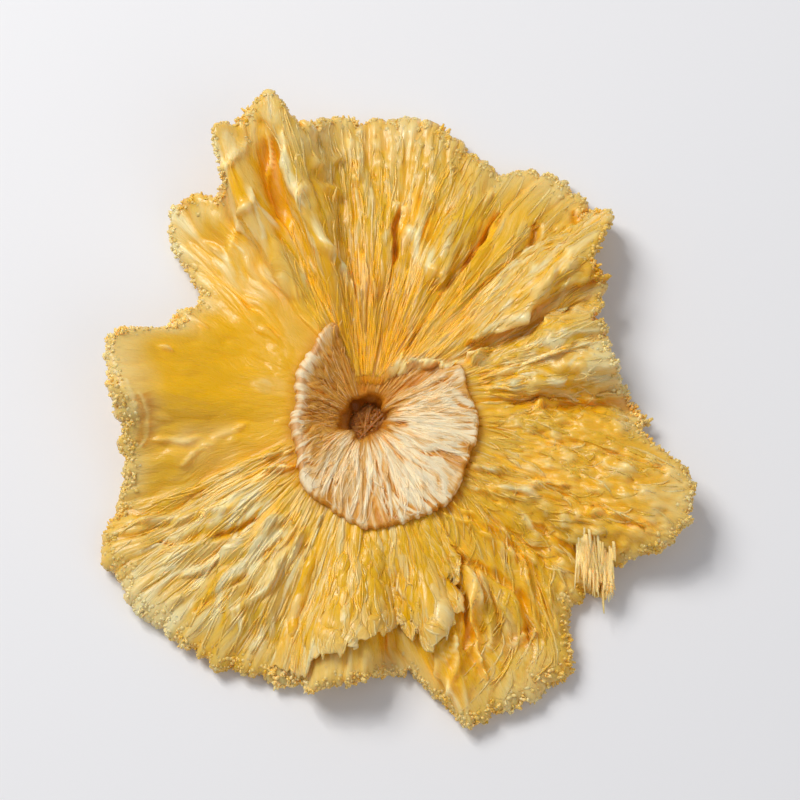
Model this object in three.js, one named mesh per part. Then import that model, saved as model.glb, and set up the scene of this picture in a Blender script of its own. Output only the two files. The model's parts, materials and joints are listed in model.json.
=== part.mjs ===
// A dried pineapple ring: one slice across the fruit, dried until its flesh ruffles round the firm core.
// Millimetres, +Z up. It lies on its underside, with the origin under the middle of its bounding box.
// Every radius is measured from the axis of the hole, and every angle in degrees from +X towards +Y.
import * as THREE from "three";
import { ParametricGeometry } from "three/addons/geometries/ParametricGeometry.js";

// A hill on a circle: where it stands, its height, its half width, and how much of that is flat on top.
const hill = (at, height, width, flat = 0) => ({ at, height, width, flat });

// A wave round a circle: its height, how many crests it has, and the angle that it is turned by.
const wave = (height, count, phase) => ({ height, count, phase });

// How finely the ring is divided: steps round the hole, and stations along each stretch of a section.
const ANGLE_STEPS = 132;
const FUNNEL_STEPS = 5;
const FLESH_STEPS = 10;

// The hole through the middle, and the lip where the funnel of the core leads down into it.
const THROAT_RADIUS = 3.35;
const THROAT_STAR = wave(0.2, 7, 40);
const THROAT_CHAMFER = 0.5;
const LIP_HEIGHT = 3.6;
const LIP_BELOW_RIDGE = 1.2;

// The core is a thick oval disc whose middle lies a little to one side of the hole.
const CORE_RADIUS = 12.4;
const CORE_OFFSET = new THREE.Vector2(2.1, -1.1);
const CORE_OVAL = wave(-1.3, 2, -10);
const CORE_SCALLOPS = wave(0.25, 9, 70);
const CORE_HEIGHT = 6.8;
const CORE_SHOULDER = 2.4;
const CORE_FOOT_INSET = 1.3;
// The core's outer edge from its shoulder down to the flesh: how far in, and how much of its climb is left.
const CORE_EDGE = [
  { inset: 0.7, climb: 0.82 },
  { inset: 0, climb: 0.45 },
  { inset: 0.1, climb: 0 },
];
const CORE_UNDERCUT = 0.2;

// The core's edge all but vanishes into the flesh over this sector.
const MERGE = hill(72, 0.85, 46, 16);
const MERGED_STEP = 0.5;

// The flesh joins the core halfway up and thins towards the rim.
const JOIN_HEIGHT = 2.0;
const FLESH_AT_CORE = 2.9;
const FLESH_AT_RIM = 2.1;
const RIM_ROUND = 1.1;
const RIM_NOSE = 0.6;
const RIM_RADIUS = 33;
const RIM_FRILL = wave(0.45, 31, 25);
const RIM_FRILL_SPREAD = wave(1, 5, 10);

// Lobes of the outline stand out past RIM_RADIUS, and the notches between them are cut in (negative).
const LOBES = [
  hill(16, -2.9, 16, 4),
  hill(47, 6.3, 17, 6),
  hill(62, 2.2, 9, 1),
  hill(86, 6.4, 28, 7),
  hill(112, 6.5, 9.5, 4.5),
  hill(131, 2.4, 8, 2),
  hill(149.5, -7.6, 17, 5),
  hill(168, -1.7, 9),
  hill(187, -4.0, 20, 6),
  hill(226, 1.7, 26, 12),
  hill(257, 0.6, 8, 2),
  hill(277, -1.6, 9, 2),
  hill(298, 5.8, 19, 8),
  hill(323.5, 3.2, 3.5, 0.8),
  hill(340.5, 7.2, 17, 4.5),
];

// Between these lifts the rim presses down on the surface below it.
const RIM_PRESS = -2.6;
const LIFT_CURVE = 1.5;
const LIFTS = [
  hill(24, 6.4, 27, 2),
  hill(113, 8.6, 25, 3),
  hill(170, 8.2, 33, 6),
  hill(266, 4.6, 13, 2),
  hill(343, 5.2, 20, 3),
];

// Radial folds of the flesh: ridges stand up and creases go down. They reach full height at FOLDS_FULL_AT,
// as a share of the way from the core to the rim.
const FOLDS_FULL_AT = 0.75;
const FOLDS = [
  hill(4.5, -1.6, 5),
  hill(12, 1.1, 6),
  hill(20, 0.8, 5),
  hill(27, -1.6, 5),
  hill(36, 1.5, 8),
  hill(47, -1.0, 4),
  hill(58, -0.6, 3),
  hill(65, 0.9, 6),
  hill(81, -0.8, 3.5),
  hill(96, -1.0, 6),
  hill(105, 0.7, 5),
  hill(112, -1.1, 5),
  hill(118, 1.3, 5),
  hill(124, -1.5, 5),
  hill(141, 1.0, 7),
  hill(158, -1.5, 11),
  hill(196, 1.1, 8),
  hill(208, -0.6, 4),
  hill(217, 0.7, 5),
  hill(226, -0.7, 4),
  hill(239, 0.9, 6),
  hill(248, -0.7, 4),
  hill(277, -1.9, 7),
  hill(290, 1.0, 6),
  hill(303, -0.9, 4),
  hill(318, -1.6, 6),
  hill(331, 1.3, 7),
  hill(355, 1.1, 7),
];
const RUFFLE = wave(0.35, 23, 60);
const RUFFLE_SPREAD = wave(1, 3, 20);

const lerp = THREE.MathUtils.lerp;
const radians = THREE.MathUtils.degToRad;
const waveAt = ({ height, count, phase }, angle) => height * Math.cos(radians(angle * count + phase));

// The height of one hill at an angle: all of it over the flat top, then a half cosine down to its half width.
function hillAt({ at, height, width, flat }, angle) {
  const away = Math.abs(THREE.MathUtils.euclideanModulo(angle - at + 180, 360) - 180);
  const fall = THREE.MathUtils.clamp((away - flat) / (width - flat), 0, 1);
  return height * (0.5 + 0.5 * Math.cos(Math.PI * fall));
}

const sumOf = (hills, angle) => hills.reduce((sum, h) => sum + hillAt(h, angle), 0);

const throatRadius = (angle) => THROAT_RADIUS + waveAt(THROAT_STAR, angle);

// Where a ray from the hole's axis meets the core's offset oval.
function coreRadius(angle) {
  const along = new THREE.Vector2(Math.cos(radians(angle)), Math.sin(radians(angle)));
  const ahead = CORE_OFFSET.dot(along);
  const reach = ahead + Math.sqrt(CORE_RADIUS ** 2 - CORE_OFFSET.lengthSq() + ahead ** 2);
  return reach + waveAt(CORE_OVAL, angle) + waveAt(CORE_SCALLOPS, angle);
}

function rimRadius(angle) {
  return RIM_RADIUS + sumOf(LOBES, angle) + waveAt(RIM_FRILL, angle) * waveAt(RIM_FRILL_SPREAD, angle);
}

// The underside of the flesh, before it is pressed flat on the surface below.
// out is 0 at the core and 1 at the rim.
function fleshUnderside(angle, out) {
  const lift = (RIM_PRESS + sumOf(LIFTS, angle)) * out ** LIFT_CURVE;
  const ruffle = waveAt(RUFFLE, angle) * waveAt(RUFFLE_SPREAD, angle);
  const grow = THREE.MathUtils.smoothstep(out, 0, FOLDS_FULL_AT);
  return JOIN_HEIGHT + lift + (sumOf(FOLDS, angle) + ruffle) * grow;
}

// The flesh keeps its thickness where the surface below pushes it up, and ends in a rounded edge.
function fleshAt(angle, out) {
  const bottom = Math.max(fleshUnderside(angle, out), 0);
  return { bottom, top: bottom + lerp(FLESH_AT_CORE, FLESH_AT_RIM, out) };
}

// The core's part of a section: up the throat, out over the funnel and down the outer edge to the flesh.
function coreSection(angle, join) {
  const throat = throatRadius(angle);
  const core = coreRadius(angle);
  const ridge = lerp(CORE_HEIGHT, join.top + MERGED_STEP, hillAt(MERGE, angle));
  const lip = Math.min(LIP_HEIGHT, ridge - LIP_BELOW_RIDGE);
  const section = [
    [throat + THROAT_CHAMFER, 0],
    [throat, THROAT_CHAMFER],
    [throat, lip - THROAT_CHAMFER],
  ];
  for (let i = 0; i < FUNNEL_STEPS; i++) {
    const t = i / (FUNNEL_STEPS - 1);
    const radius = lerp(throat + THROAT_CHAMFER, core - CORE_SHOULDER, t);
    section.push([radius, lerp(lip, ridge, Math.sin((t * Math.PI) / 2))]);
  }
  const edge = CORE_EDGE.map(({ inset, climb }) => [core - inset, lerp(join.top, ridge, climb)]);
  return section.concat(edge);
}

// One closed section of the ring: the core, then the top of the flesh, round the rim and back underneath.
function sectionAt(angle) {
  const core = coreRadius(angle);
  const rim = rimRadius(angle);
  const join = fleshAt(angle, 0);
  const outs = Array.from({ length: FLESH_STEPS }, (_, i) => (i + 1) / FLESH_STEPS);
  const flesh = outs.map((out) => ({ radius: lerp(core, rim - RIM_ROUND, out), ...fleshAt(angle, out) }));
  const end = flesh[flesh.length - 1];
  return [
    ...coreSection(angle, join),
    ...flesh.map(({ radius, top }) => [radius, top]),
    [rim, lerp(end.bottom, end.top, RIM_NOSE)],
    ...flesh.reverse().map(({ radius, bottom }) => [radius, bottom]),
    [core - CORE_UNDERCUT, join.bottom],
    [core - CORE_FOOT_INSET, 0],
  ];
}

// The skin of the ring: its section carried once round the hole, so the surface closes on itself both ways.
// It is carried clockwise, which leaves the faces pointing out.
function ringGeometry() {
  const sections = Array.from({ length: ANGLE_STEPS }, (_, i) => sectionAt((i * 360) / ANGLE_STEPS));
  const stations = sections[0].length;
  const skin = (u, v, target) => {
    const i = (ANGLE_STEPS - Math.round(u * ANGLE_STEPS)) % ANGLE_STEPS;
    const j = Math.round(v * stations) % stations;
    const [radius, height] = sections[i][j];
    const turn = (i * 2 * Math.PI) / ANGLE_STEPS;
    target.set(radius * Math.cos(turn), radius * Math.sin(turn), height);
  };
  return new ParametricGeometry(skin, ANGLE_STEPS, stations);
}

const geometry = ringGeometry();
geometry.computeBoundingBox();
const middle = geometry.boundingBox.getCenter(new THREE.Vector3());
geometry.translate(-middle.x, -middle.y, -geometry.boundingBox.min.z);

const driedFlesh = new THREE.MeshStandardMaterial({ color: 0xdcaa4f, roughness: 0.5, metalness: 0 });
const slice = new THREE.Mesh(geometry, driedFlesh);
slice.name = "pineapple_ring";

const ring = new THREE.Group();
ring.add(slice);

export default ring;
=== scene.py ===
"""A dried pineapple ring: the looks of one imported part, built round its fixed frame.

The ring is one ruffled slice round a firm core. Its flesh, its core, a folded flap, a torn tab, loose
fibres and the beads of its rim are surfaces worked out with numpy. Sizes are in millimetres and angles
in degrees from +X towards +Y about the axis of the hole, until a mesh is made in metres.
"""
import json
import logging
import math
from dataclasses import dataclass, field
from enum import Enum
from typing import Callable

import bpy
import numpy as np
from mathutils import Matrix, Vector


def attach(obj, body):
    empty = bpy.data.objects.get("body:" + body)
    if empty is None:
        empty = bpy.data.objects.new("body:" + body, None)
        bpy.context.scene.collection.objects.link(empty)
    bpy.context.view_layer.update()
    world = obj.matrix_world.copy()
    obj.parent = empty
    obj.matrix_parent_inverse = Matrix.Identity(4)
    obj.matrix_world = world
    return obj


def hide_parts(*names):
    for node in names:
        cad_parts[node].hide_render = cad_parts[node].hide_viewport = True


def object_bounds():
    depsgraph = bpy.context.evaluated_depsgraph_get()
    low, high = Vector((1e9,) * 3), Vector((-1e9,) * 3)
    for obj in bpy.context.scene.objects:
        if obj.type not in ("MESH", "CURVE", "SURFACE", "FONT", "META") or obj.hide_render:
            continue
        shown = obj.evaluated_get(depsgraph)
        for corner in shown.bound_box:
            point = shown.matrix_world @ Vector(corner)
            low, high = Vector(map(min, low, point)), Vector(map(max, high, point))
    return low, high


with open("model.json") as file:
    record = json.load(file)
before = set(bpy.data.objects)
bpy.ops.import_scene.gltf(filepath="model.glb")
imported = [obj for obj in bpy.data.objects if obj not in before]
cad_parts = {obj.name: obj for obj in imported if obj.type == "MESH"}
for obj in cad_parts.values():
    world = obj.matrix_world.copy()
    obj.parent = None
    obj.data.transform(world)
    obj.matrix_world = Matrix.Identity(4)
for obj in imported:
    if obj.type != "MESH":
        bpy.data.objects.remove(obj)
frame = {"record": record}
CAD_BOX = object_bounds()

log = logging.getLogger("pineapple_ring")

MM = 0.001
NODE = "pineapple_ring"
BODY = "root"

# How many points each pair of a ridge's path becomes, and how narrow a side has to be to make a step,
# which paints shade on what lies up to STEP_SHADE millimetres beyond it.
RIDGE_STEPS = 4
STEP_WIDTH = 0.45
STEP_SHADE = 1.6


def hole_axis() -> np.ndarray:
    """Where the hole's axis stands in plan, in millimetres: the middle of the box of its opening."""
    low, high = frame["record"]["physics"]["openings"][0]["box_m"]
    return (np.array(low[:2]) + np.array(high[:2])) / 2 / MM


# ---------------------------------------------------------------------------------------------------
# Shapes on a circle
# ---------------------------------------------------------------------------------------------------


def smooth(value: np.ndarray, low: float, high: float) -> np.ndarray:
    """0 below low, 1 above high, and an even S between: 3t^2 - 2t^3."""
    t = np.clip((value - low) / (high - low), 0.0, 1.0)
    return t * t * (3.0 - 2.0 * t)


def lerp(a: np.ndarray, b: np.ndarray, t: np.ndarray) -> np.ndarray:
    """The value t of the way from a to b."""
    return a + (b - a) * t


def away_from(angle: np.ndarray, at: float) -> np.ndarray:
    """The shorter way round from an angle to a place on the circle, in degrees."""
    return np.abs((angle - at + 180.0) % 360.0 - 180.0)


@dataclass(frozen=True)
class Hill:
    """A rise on a circle: its middle, height, half width, and the half width of its flat top.

    lean is how far its crest hangs over to the left (+) or right (-), as a share of its height.
    """

    at: float
    height: float
    width: float
    flat: float = 0.0
    lean: float = 0.0

    def rise(self, angle: np.ndarray) -> np.ndarray:
        """All of the height over the flat top, then a half cosine down to the half width."""
        fall = np.clip((away_from(angle, self.at) - self.flat) / (self.width - self.flat), 0.0, 1.0)
        return self.height * (0.5 + 0.5 * np.cos(np.pi * fall))


@dataclass(frozen=True)
class Wave:
    """A wave round a circle: height times the cosine of count times the angle plus phase."""

    height: float
    count: int
    phase: float

    def rise(self, angle: np.ndarray) -> np.ndarray:
        """The wave's height at each angle."""
        return self.height * np.cos(np.radians(angle * self.count + self.phase))


@dataclass(frozen=True)
class Patch:
    """A soft-edged area of the flesh: its middle and half size both ways, and its strength.

    at and width are degrees round the ring, and out and reach are shares of the way out.
    """

    at: float
    width: float
    out: float
    reach: float
    amount: float

    def share(self, angle: np.ndarray, out: np.ndarray) -> np.ndarray:
        """Strength times a smooth fall across times a smooth fall outwards.

        Args:
            angle: places round the ring, in degrees.
            out: how far out they are, from 0 at the core to 1 at the rim.

        Returns:
            How strong the patch is at each place.
        """
        across = smooth(1.0 - away_from(angle, self.at) / self.width, 0.0, 0.6)
        along = smooth(1.0 - np.abs(out - self.out) / self.reach, 0.0, 0.6)
        return self.amount * across * along


def total(hills: tuple, angle: np.ndarray) -> np.ndarray:
    """The sum of several hills or waves at each angle."""
    return sum(h.rise(angle) for h in hills)


def cover(patches: tuple, angle: np.ndarray, out: np.ndarray) -> np.ndarray:
    """The sum of several patches at each place, kept between 0 and 1."""
    return np.clip(sum(p.share(angle, out) for p in patches), 0.0, 1.0)


class RingNoise:
    """Smooth random numbers from 0 to 1 on a lattice that closes round the ring."""

    def __init__(self, rng: np.random.Generator, around: int, outwards: int) -> None:
        """Draws the lattice.

        Args:
            rng: where the random numbers come from.
            around: cells round the ring.
            outwards: cells from the inner edge to the outer edge.
        """
        self.around = around
        self.outwards = outwards
        self.lattice = rng.random((around, outwards + 2))

    def at(self, turn: np.ndarray, out: np.ndarray) -> np.ndarray:
        """The four lattice values round each place, blended by an even S both ways.

        Args:
            turn: how far round, where 1 is a full circle.
            out: how far outwards, from 0 to 1.

        Returns:
            A value for each place, between 0 and 1.
        """
        x = (turn % 1.0) * self.around
        y = np.clip(out, 0.0, 1.0) * self.outwards
        column, row = np.floor(x).astype(int), np.floor(y).astype(int)
        fx, fy = smooth(x - column, 0.0, 1.0), smooth(y - row, 0.0, 1.0)
        left, right = column % self.around, (column + 1) % self.around
        low = lerp(self.lattice[left, row], self.lattice[right, row], fx)
        high = lerp(self.lattice[left, row + 1], self.lattice[right, row + 1], fx)
        return lerp(low, high, fy)

    def bundles(self, turn: np.ndarray, out: np.ndarray) -> np.ndarray:
        """Round crests with sharp valleys between, as fibres lie side by side: |2n - 1|."""
        return np.abs(2.0 * self.at(turn, out) - 1.0)


class Granules:
    """Rounded grains packed side by side on a jittered square lattice."""

    TABLE = 97

    def __init__(self, rng: np.random.Generator, pitch: float) -> None:
        """Draws where each grain sits in its own cell; pitch is the size of a cell in millimetres."""
        self.pitch = pitch
        self.jitter = rng.random((self.TABLE, self.TABLE, 2))

    def at(self, x: np.ndarray, y: np.ndarray) -> np.ndarray:
        """How far inside a grain each place lies: the next nearest centre's distance less the nearest's.

        Args:
            x: places in plan, in millimetres.
            y: the same.

        Returns:
            0 on the border between two grains, and up to 1 well inside one.
        """
        x, y = x / self.pitch, y / self.pitch
        column, row = np.floor(x).astype(int), np.floor(y).astype(int)
        nearest = np.full(x.shape, 9.0)
        second = np.full(x.shape, 9.0)
        for step in range(9):
            i, j = column + step // 3 - 1, row + step % 3 - 1
            spot = self.jitter[i % self.TABLE, j % self.TABLE]
            distance = np.hypot(i + spot[..., 0] - x, j + spot[..., 1] - y)
            second = np.minimum(second, np.maximum(nearest, distance))
            nearest = np.minimum(nearest, distance)
        return np.clip(second - nearest, 0.0, 1.0)


def swayed(grid: np.ndarray, shift: np.ndarray) -> np.ndarray:
    """A grid that goes round, read sideways of each place and blended between its two neighbours.

    Args:
        grid: the values, round the ring and then outwards.
        shift: how many steps round each place reads ahead.

    Returns:
        The values read, over the same grid.
    """
    at = np.arange(grid.shape[0])[:, None] + shift
    low = np.floor(at).astype(int)
    column = np.arange(grid.shape[1])[None]
    here, there = grid[low % grid.shape[0], column], grid[(low + 1) % grid.shape[0], column]
    return lerp(here, there, at - low)


@dataclass(frozen=True)
class Ridge:
    """A ridge or a crease laid along a path over the flesh.

    path holds (radius, angle) pairs. left and right are its half widths in millimetres on either side,
    as one looks along the path: a narrow one makes a step, beyond which painted shade is laid. height is
    how far it stands up or, below zero, cuts in, and pale is how much cream or, below zero, amber and
    painted crease shade it takes.
    """

    path: tuple
    left: float
    right: float
    height: float
    pale: float = 0.3

    def corners(self) -> np.ndarray:
        """The path as points in plan: the polynomial through its pairs, at evenly spaced steps.

        Returns:
            Points in millimetres from the hole's axis.
        """
        pairs = np.array(self.path, dtype=float)
        given = np.linspace(0.0, 1.0, len(pairs))
        wanted = np.linspace(0.0, 1.0, RIDGE_STEPS * len(pairs))
        radius, angle = (
            np.polyval(np.polyfit(given, column, len(pairs) - 1), wanted) for column in pairs.T
        )
        return np.stack([radius * np.cos(np.radians(angle)), radius * np.sin(np.radians(angle))], axis=1)

    def share(self, x: np.ndarray, y: np.ndarray) -> tuple:
        """How much of the ridge stands at each place, and how much painted shade its step lays there.

        The distance to the nearest stretch of the path is divided by the half width of its side, which
        narrows to both ends as the root of a half sine. One less that share falls off as an even S.

        Args:
            x: places in plan, in millimetres from the hole's axis.
            y: the same.

        Returns:
            The share from 0 to 1, and the painted shade beyond a narrow side, both for each place.
        """
        corners = self.corners()
        near, side, along = np.full(x.shape, 1e9), np.zeros(x.shape), np.zeros(x.shape)
        for k, (corner, step) in enumerate(zip(corners, np.diff(corners, axis=0))):
            dx, dy = x - corner[0], y - corner[1]
            t = np.clip((dx * step[0] + dy * step[1]) / (step @ step), 0.0, 1.0)
            distance = np.hypot(dx - t * step[0], dy - t * step[1])
            nearer = distance < near
            near = np.where(nearer, distance, near)
            side = np.where(nearer, step[0] * dy - step[1] * dx, side)
            along = np.where(nearer, (k + t) / (len(corners) - 1), along)
        taper = 0.3 + 0.7 * np.sqrt(np.clip(np.sin(np.pi * along), 0.0, 1.0))
        width = np.where(side > 0.0, self.left, self.right)
        shaded_steep = width <= STEP_WIDTH
        shade = smooth(1.0 - near / STEP_SHADE, 0.0, 0.9) * shaded_steep * (taper > 0.5)
        return smooth(1.0 - near / (width * taper), 0.0, 0.85), shade


@dataclass(frozen=True)
class Zone:
    """Where a batch of fibres grows: round from start to end, outwards from near to far, and their make.

    wide is the range of their widths and long the range of their lengths in millimetres, high the range
    of their heights as a share of the thatch's own, tint the range from golden (0) to cream (1), and
    bend the range of how many degrees they turn on their way out.
    """

    start: float
    end: float
    near: float
    far: float
    count: int
    wide: tuple
    long: tuple
    tint: tuple
    high: tuple = (0.4, 1.0)
    bend: tuple = (-1.5, 1.5)

    def draw(self, rng: np.random.Generator, reach: float) -> np.ndarray:
        """One row for each fibre: angle, start, end, half width, height, tint and bend.

        Args:
            rng: where the random numbers come from.
            reach: how many millimetres lie between out 0 and out 1, on average.

        Returns:
            The rows, each with seven numbers.
        """
        n = self.count
        middle = rng.uniform(self.near, self.far, n)
        half = rng.uniform(*self.long, n) / reach / 2.0
        columns = (
            rng.uniform(self.start, self.end, n),
            middle - half,
            middle + half,
            rng.uniform(*self.wide, n) / 2.0,
            rng.uniform(*self.high, n),
            rng.uniform(*self.tint, n),
            rng.uniform(*self.bend, n),
        )
        return np.stack(columns, axis=1)


@dataclass(frozen=True)
class Thatch:
    """Fibres that lie over each other on a grid of angles and shares of the way out.

    first and step place the grid's columns in degrees; a whole circle of them closes on itself. bare is
    the tint where no fibre lies.
    """

    first: float
    step: float
    columns: int
    out: np.ndarray
    bare: float = 0.35

    def lay(self, fibres: np.ndarray, radius: np.ndarray) -> tuple:
        """Stamps every fibre, where the highest one at a place shows.

        A fibre's section is a half ellipse, height times the root of 1 less the squared distance from
        its middle line, and its width and height taper to both ends as a root of a half sine.

        Args:
            fibres: one row for each, as Zone.draw gives them.
            radius: the distance from the axis for each fibre and each station outwards.

        Returns:
            The height from 0 to 1, and the tint of the fibre that shows, over the whole grid.
        """
        angle, start, end, half, high, tint, bend = (fibres[:, k, None] for k in range(7))
        t = (self.out[None] - start) / (end - start)
        taper = np.sqrt(np.sin(np.pi * np.clip(t, 0.02, 0.98)))
        middle = (angle + bend * t * np.abs(t) - self.first) / self.step
        spread = np.degrees(half * (0.25 + 0.75 * taper) / radius) / self.step
        reach = int(np.ceil(spread.max()))
        offset = np.arange(-reach, reach + 1)
        column = np.floor(middle)[..., None] + offset
        distance = (column - middle[..., None]) / spread[..., None]
        value = (high * taper)[..., None] * np.sqrt(np.clip(1.0 - distance**2, 0.0, 1.0))
        whole = abs(self.columns * self.step - 360.0) < 1e-6
        column = column % self.columns if whole else column
        row = np.arange(len(self.out))[None, :, None]
        along = ((t >= 0.0) & (t <= 1.0))[..., None]
        shown = (value > 0.0) & along & (column >= 0) & (column < self.columns)
        spot = (column * len(self.out) + row)[shown].astype(int)
        value, tints = value[shown], np.broadcast_to(tint[..., None], value.shape)[shown]
        order = np.argsort(value, kind="stable")
        height = np.zeros(self.columns * len(self.out))
        colour = np.full_like(height, self.bare)
        height[spot[order]] = value[order]
        colour[spot[order]] = tints[order]
        return height.reshape(self.columns, -1), colour.reshape(self.columns, -1)


# ---------------------------------------------------------------------------------------------------
# Meshes from arrays
# ---------------------------------------------------------------------------------------------------


def grid_normals(points: np.ndarray) -> np.ndarray:
    """Unit normals of a grid that closes both ways: the step along a section times the step round.

    Args:
        points: the grid's points, round the ring and then along each section.

    Returns:
        A normal for each point, which points outwards.
    """
    along = np.roll(points, -1, axis=1) - np.roll(points, 1, axis=1)
    around = np.roll(points, -1, axis=0) - np.roll(points, 1, axis=0)
    normal = np.cross(along, around)
    return normal / np.maximum(np.linalg.norm(normal, axis=-1, keepdims=True), 1e-9)


def quads_of(index: np.ndarray) -> np.ndarray:
    """Four corners for each cell of a grid of vertex numbers that closes both ways.

    Args:
        index: the vertex numbers, round the ring and then along each section.

    Returns:
        The cells, one row of four corners for each.
    """
    down = np.roll(index, -1, axis=1)
    cells = np.stack([index, down, np.roll(down, -1, axis=0), np.roll(index, -1, axis=0)], axis=-1)
    return cells.reshape(-1, 4)


@dataclass
class Piece:
    """A finished surface, ready to become one of the part's meshes.

    points are in millimetres, faces is a list of arrays of corner numbers with one array for each
    number of corners, and traits holds the named numbers that its finish reads at each point.
    """

    name: str
    points: np.ndarray
    faces: list
    traits: dict = field(default_factory=dict)

    def make(self, material: bpy.types.Material) -> bpy.types.Object:
        """Puts the arrays into a mesh, dresses it and ties it to the frame.

        Args:
            material: the finish of the whole piece.

        Returns:
            The new object, which rides on the part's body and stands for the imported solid.
        """
        mesh = bpy.data.meshes.new(self.name)
        sizes = np.concatenate([np.full(len(f), f.shape[1]) for f in self.faces])
        corners = np.concatenate([f.ravel() for f in self.faces])
        mesh.vertices.add(len(self.points))
        mesh.loops.add(len(corners))
        mesh.polygons.add(len(sizes))
        mesh.vertices.foreach_set("co", (self.points * MM).astype(np.float32).ravel())
        mesh.polygons.foreach_set("loop_start", (np.cumsum(sizes) - sizes).astype(np.int32))
        mesh.loops.foreach_set("vertex_index", corners.astype(np.int32))
        mesh.update(calc_edges=True)
        mesh.validate()
        mesh.shade_smooth()
        for name, values in self.traits.items():
            kind, key = ("FLOAT_VECTOR", "vector") if values.ndim == 2 else ("FLOAT", "value")
            layer = mesh.attributes.new(name, kind, "POINT")
            layer.data.foreach_set(key, values.astype(np.float32).ravel())
        mesh.materials.append(material)
        piece = bpy.data.objects.new(self.name, mesh)
        bpy.context.scene.collection.objects.link(piece)
        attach(piece, BODY)
        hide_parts(NODE)
        log.info("%s: %d triangles", self.name, int((sizes - 2).sum()))
        return piece


@dataclass
class Skin:
    """A finished grid of points, normals and traits, on which fibres and beads can be laid."""

    points: np.ndarray
    normals: np.ndarray
    traits: dict

    def blend(self, grid: np.ndarray, turn: np.ndarray, station: np.ndarray) -> np.ndarray:
        """Values of a grid at each place, blended from the four grid points round it.

        Args:
            grid: numbers or vectors for each grid point.
            turn: how far round, where 1 is a full circle.
            station: how far along the section, counted in grid steps.

        Returns:
            The blended number or vector at each place.
        """
        n, m = self.points.shape[:2]
        x = (turn % 1.0) * n
        y = np.clip(station, 0.0, m - 1.001)
        i, j = np.floor(x).astype(int) % n, np.floor(y).astype(int)
        fx, fy = x - np.floor(x), y - j
        if grid.ndim == 3:
            fx, fy = fx[..., None], fy[..., None]
        k = (i + 1) % n
        return lerp(lerp(grid[i, j], grid[k, j], fx), lerp(grid[i, j + 1], grid[k, j + 1], fx), fy)

    def at(self, turn: np.ndarray, station: np.ndarray) -> tuple:
        """The point and unit normal at each place."""
        point, normal = (self.blend(grid, turn, station) for grid in (self.points, self.normals))
        return point, normal / np.linalg.norm(normal, axis=-1, keepdims=True)

    def traits_at(self, turn: np.ndarray, station: np.ndarray) -> dict:
        """What the finish reads at each place."""
        return {name: self.blend(grid, turn, station) for name, grid in self.traits.items()}


def listed(traits: dict) -> dict:
    """The traits of a grid as one row for each point."""
    return {
        key: value.reshape(-1, 3) if value.ndim == 3 else value.ravel()
        for key, value in traits.items()
    }


def skin_piece(name: str, points: np.ndarray, traits: dict) -> Piece:
    """A closed skin over a grid of points that closes both ways.

    Args:
        name: the piece's name.
        points: its points, round the ring and then along each section.
        traits: named numbers or vectors for each point.

    Returns:
        The skin as one piece.
    """
    index = np.arange(points.shape[0] * points.shape[1]).reshape(points.shape[:2])
    return Piece(name, points.reshape(-1, 3), [quads_of(index)], listed(traits))


def strand_piece(name: str, paths: np.ndarray, radii: np.ndarray, sides: int, traits: dict) -> Piece:
    """Thin tapered rods, all in one mesh.

    Each point of a path carries a ring: the point plus its radius times (cos of the side vector plus
    sin of the normal vector), and both ends are closed by a flat cap.

    Args:
        name: the piece's name.
        paths: the points of each rod, as rods x points x 3.
        radii: the rod's radius at each of those points.
        sides: corners of a ring.
        traits: named numbers for each point of each rod, spread over its ring.

    Returns:
        The joined piece.
    """
    count, length = radii.shape
    along = np.gradient(paths, axis=1)
    along /= np.maximum(np.linalg.norm(along, axis=-1, keepdims=True), 1e-9)
    side = np.cross(along, np.array([0.0, 0.0, 1.0]) + 0.01)
    side /= np.maximum(np.linalg.norm(side, axis=-1, keepdims=True), 1e-9)
    up = np.cross(side, along)
    turn = np.arange(sides) * 2.0 * math.pi / sides
    ring = side[:, :, None] * np.cos(turn)[:, None] + up[:, :, None] * np.sin(turn)[:, None]
    points = paths[:, :, None] + ring * radii[:, :, None, None]
    index = np.arange(count * length * sides).reshape(count, length, sides)
    near, far = index[:, :-1], index[:, 1:]
    quads = np.stack([near, np.roll(near, -1, axis=2), np.roll(far, -1, axis=2), far], axis=-1)
    caps = np.concatenate([index[:, 0, ::-1], index[:, -1]])
    spread = {
        key: np.repeat(value.reshape(count * length, *value.shape[2:]), sides, axis=0)
        for key, value in traits.items()
    }
    return Piece(name, points.reshape(-1, 3), [quads.reshape(-1, 4), caps], spread)


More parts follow.
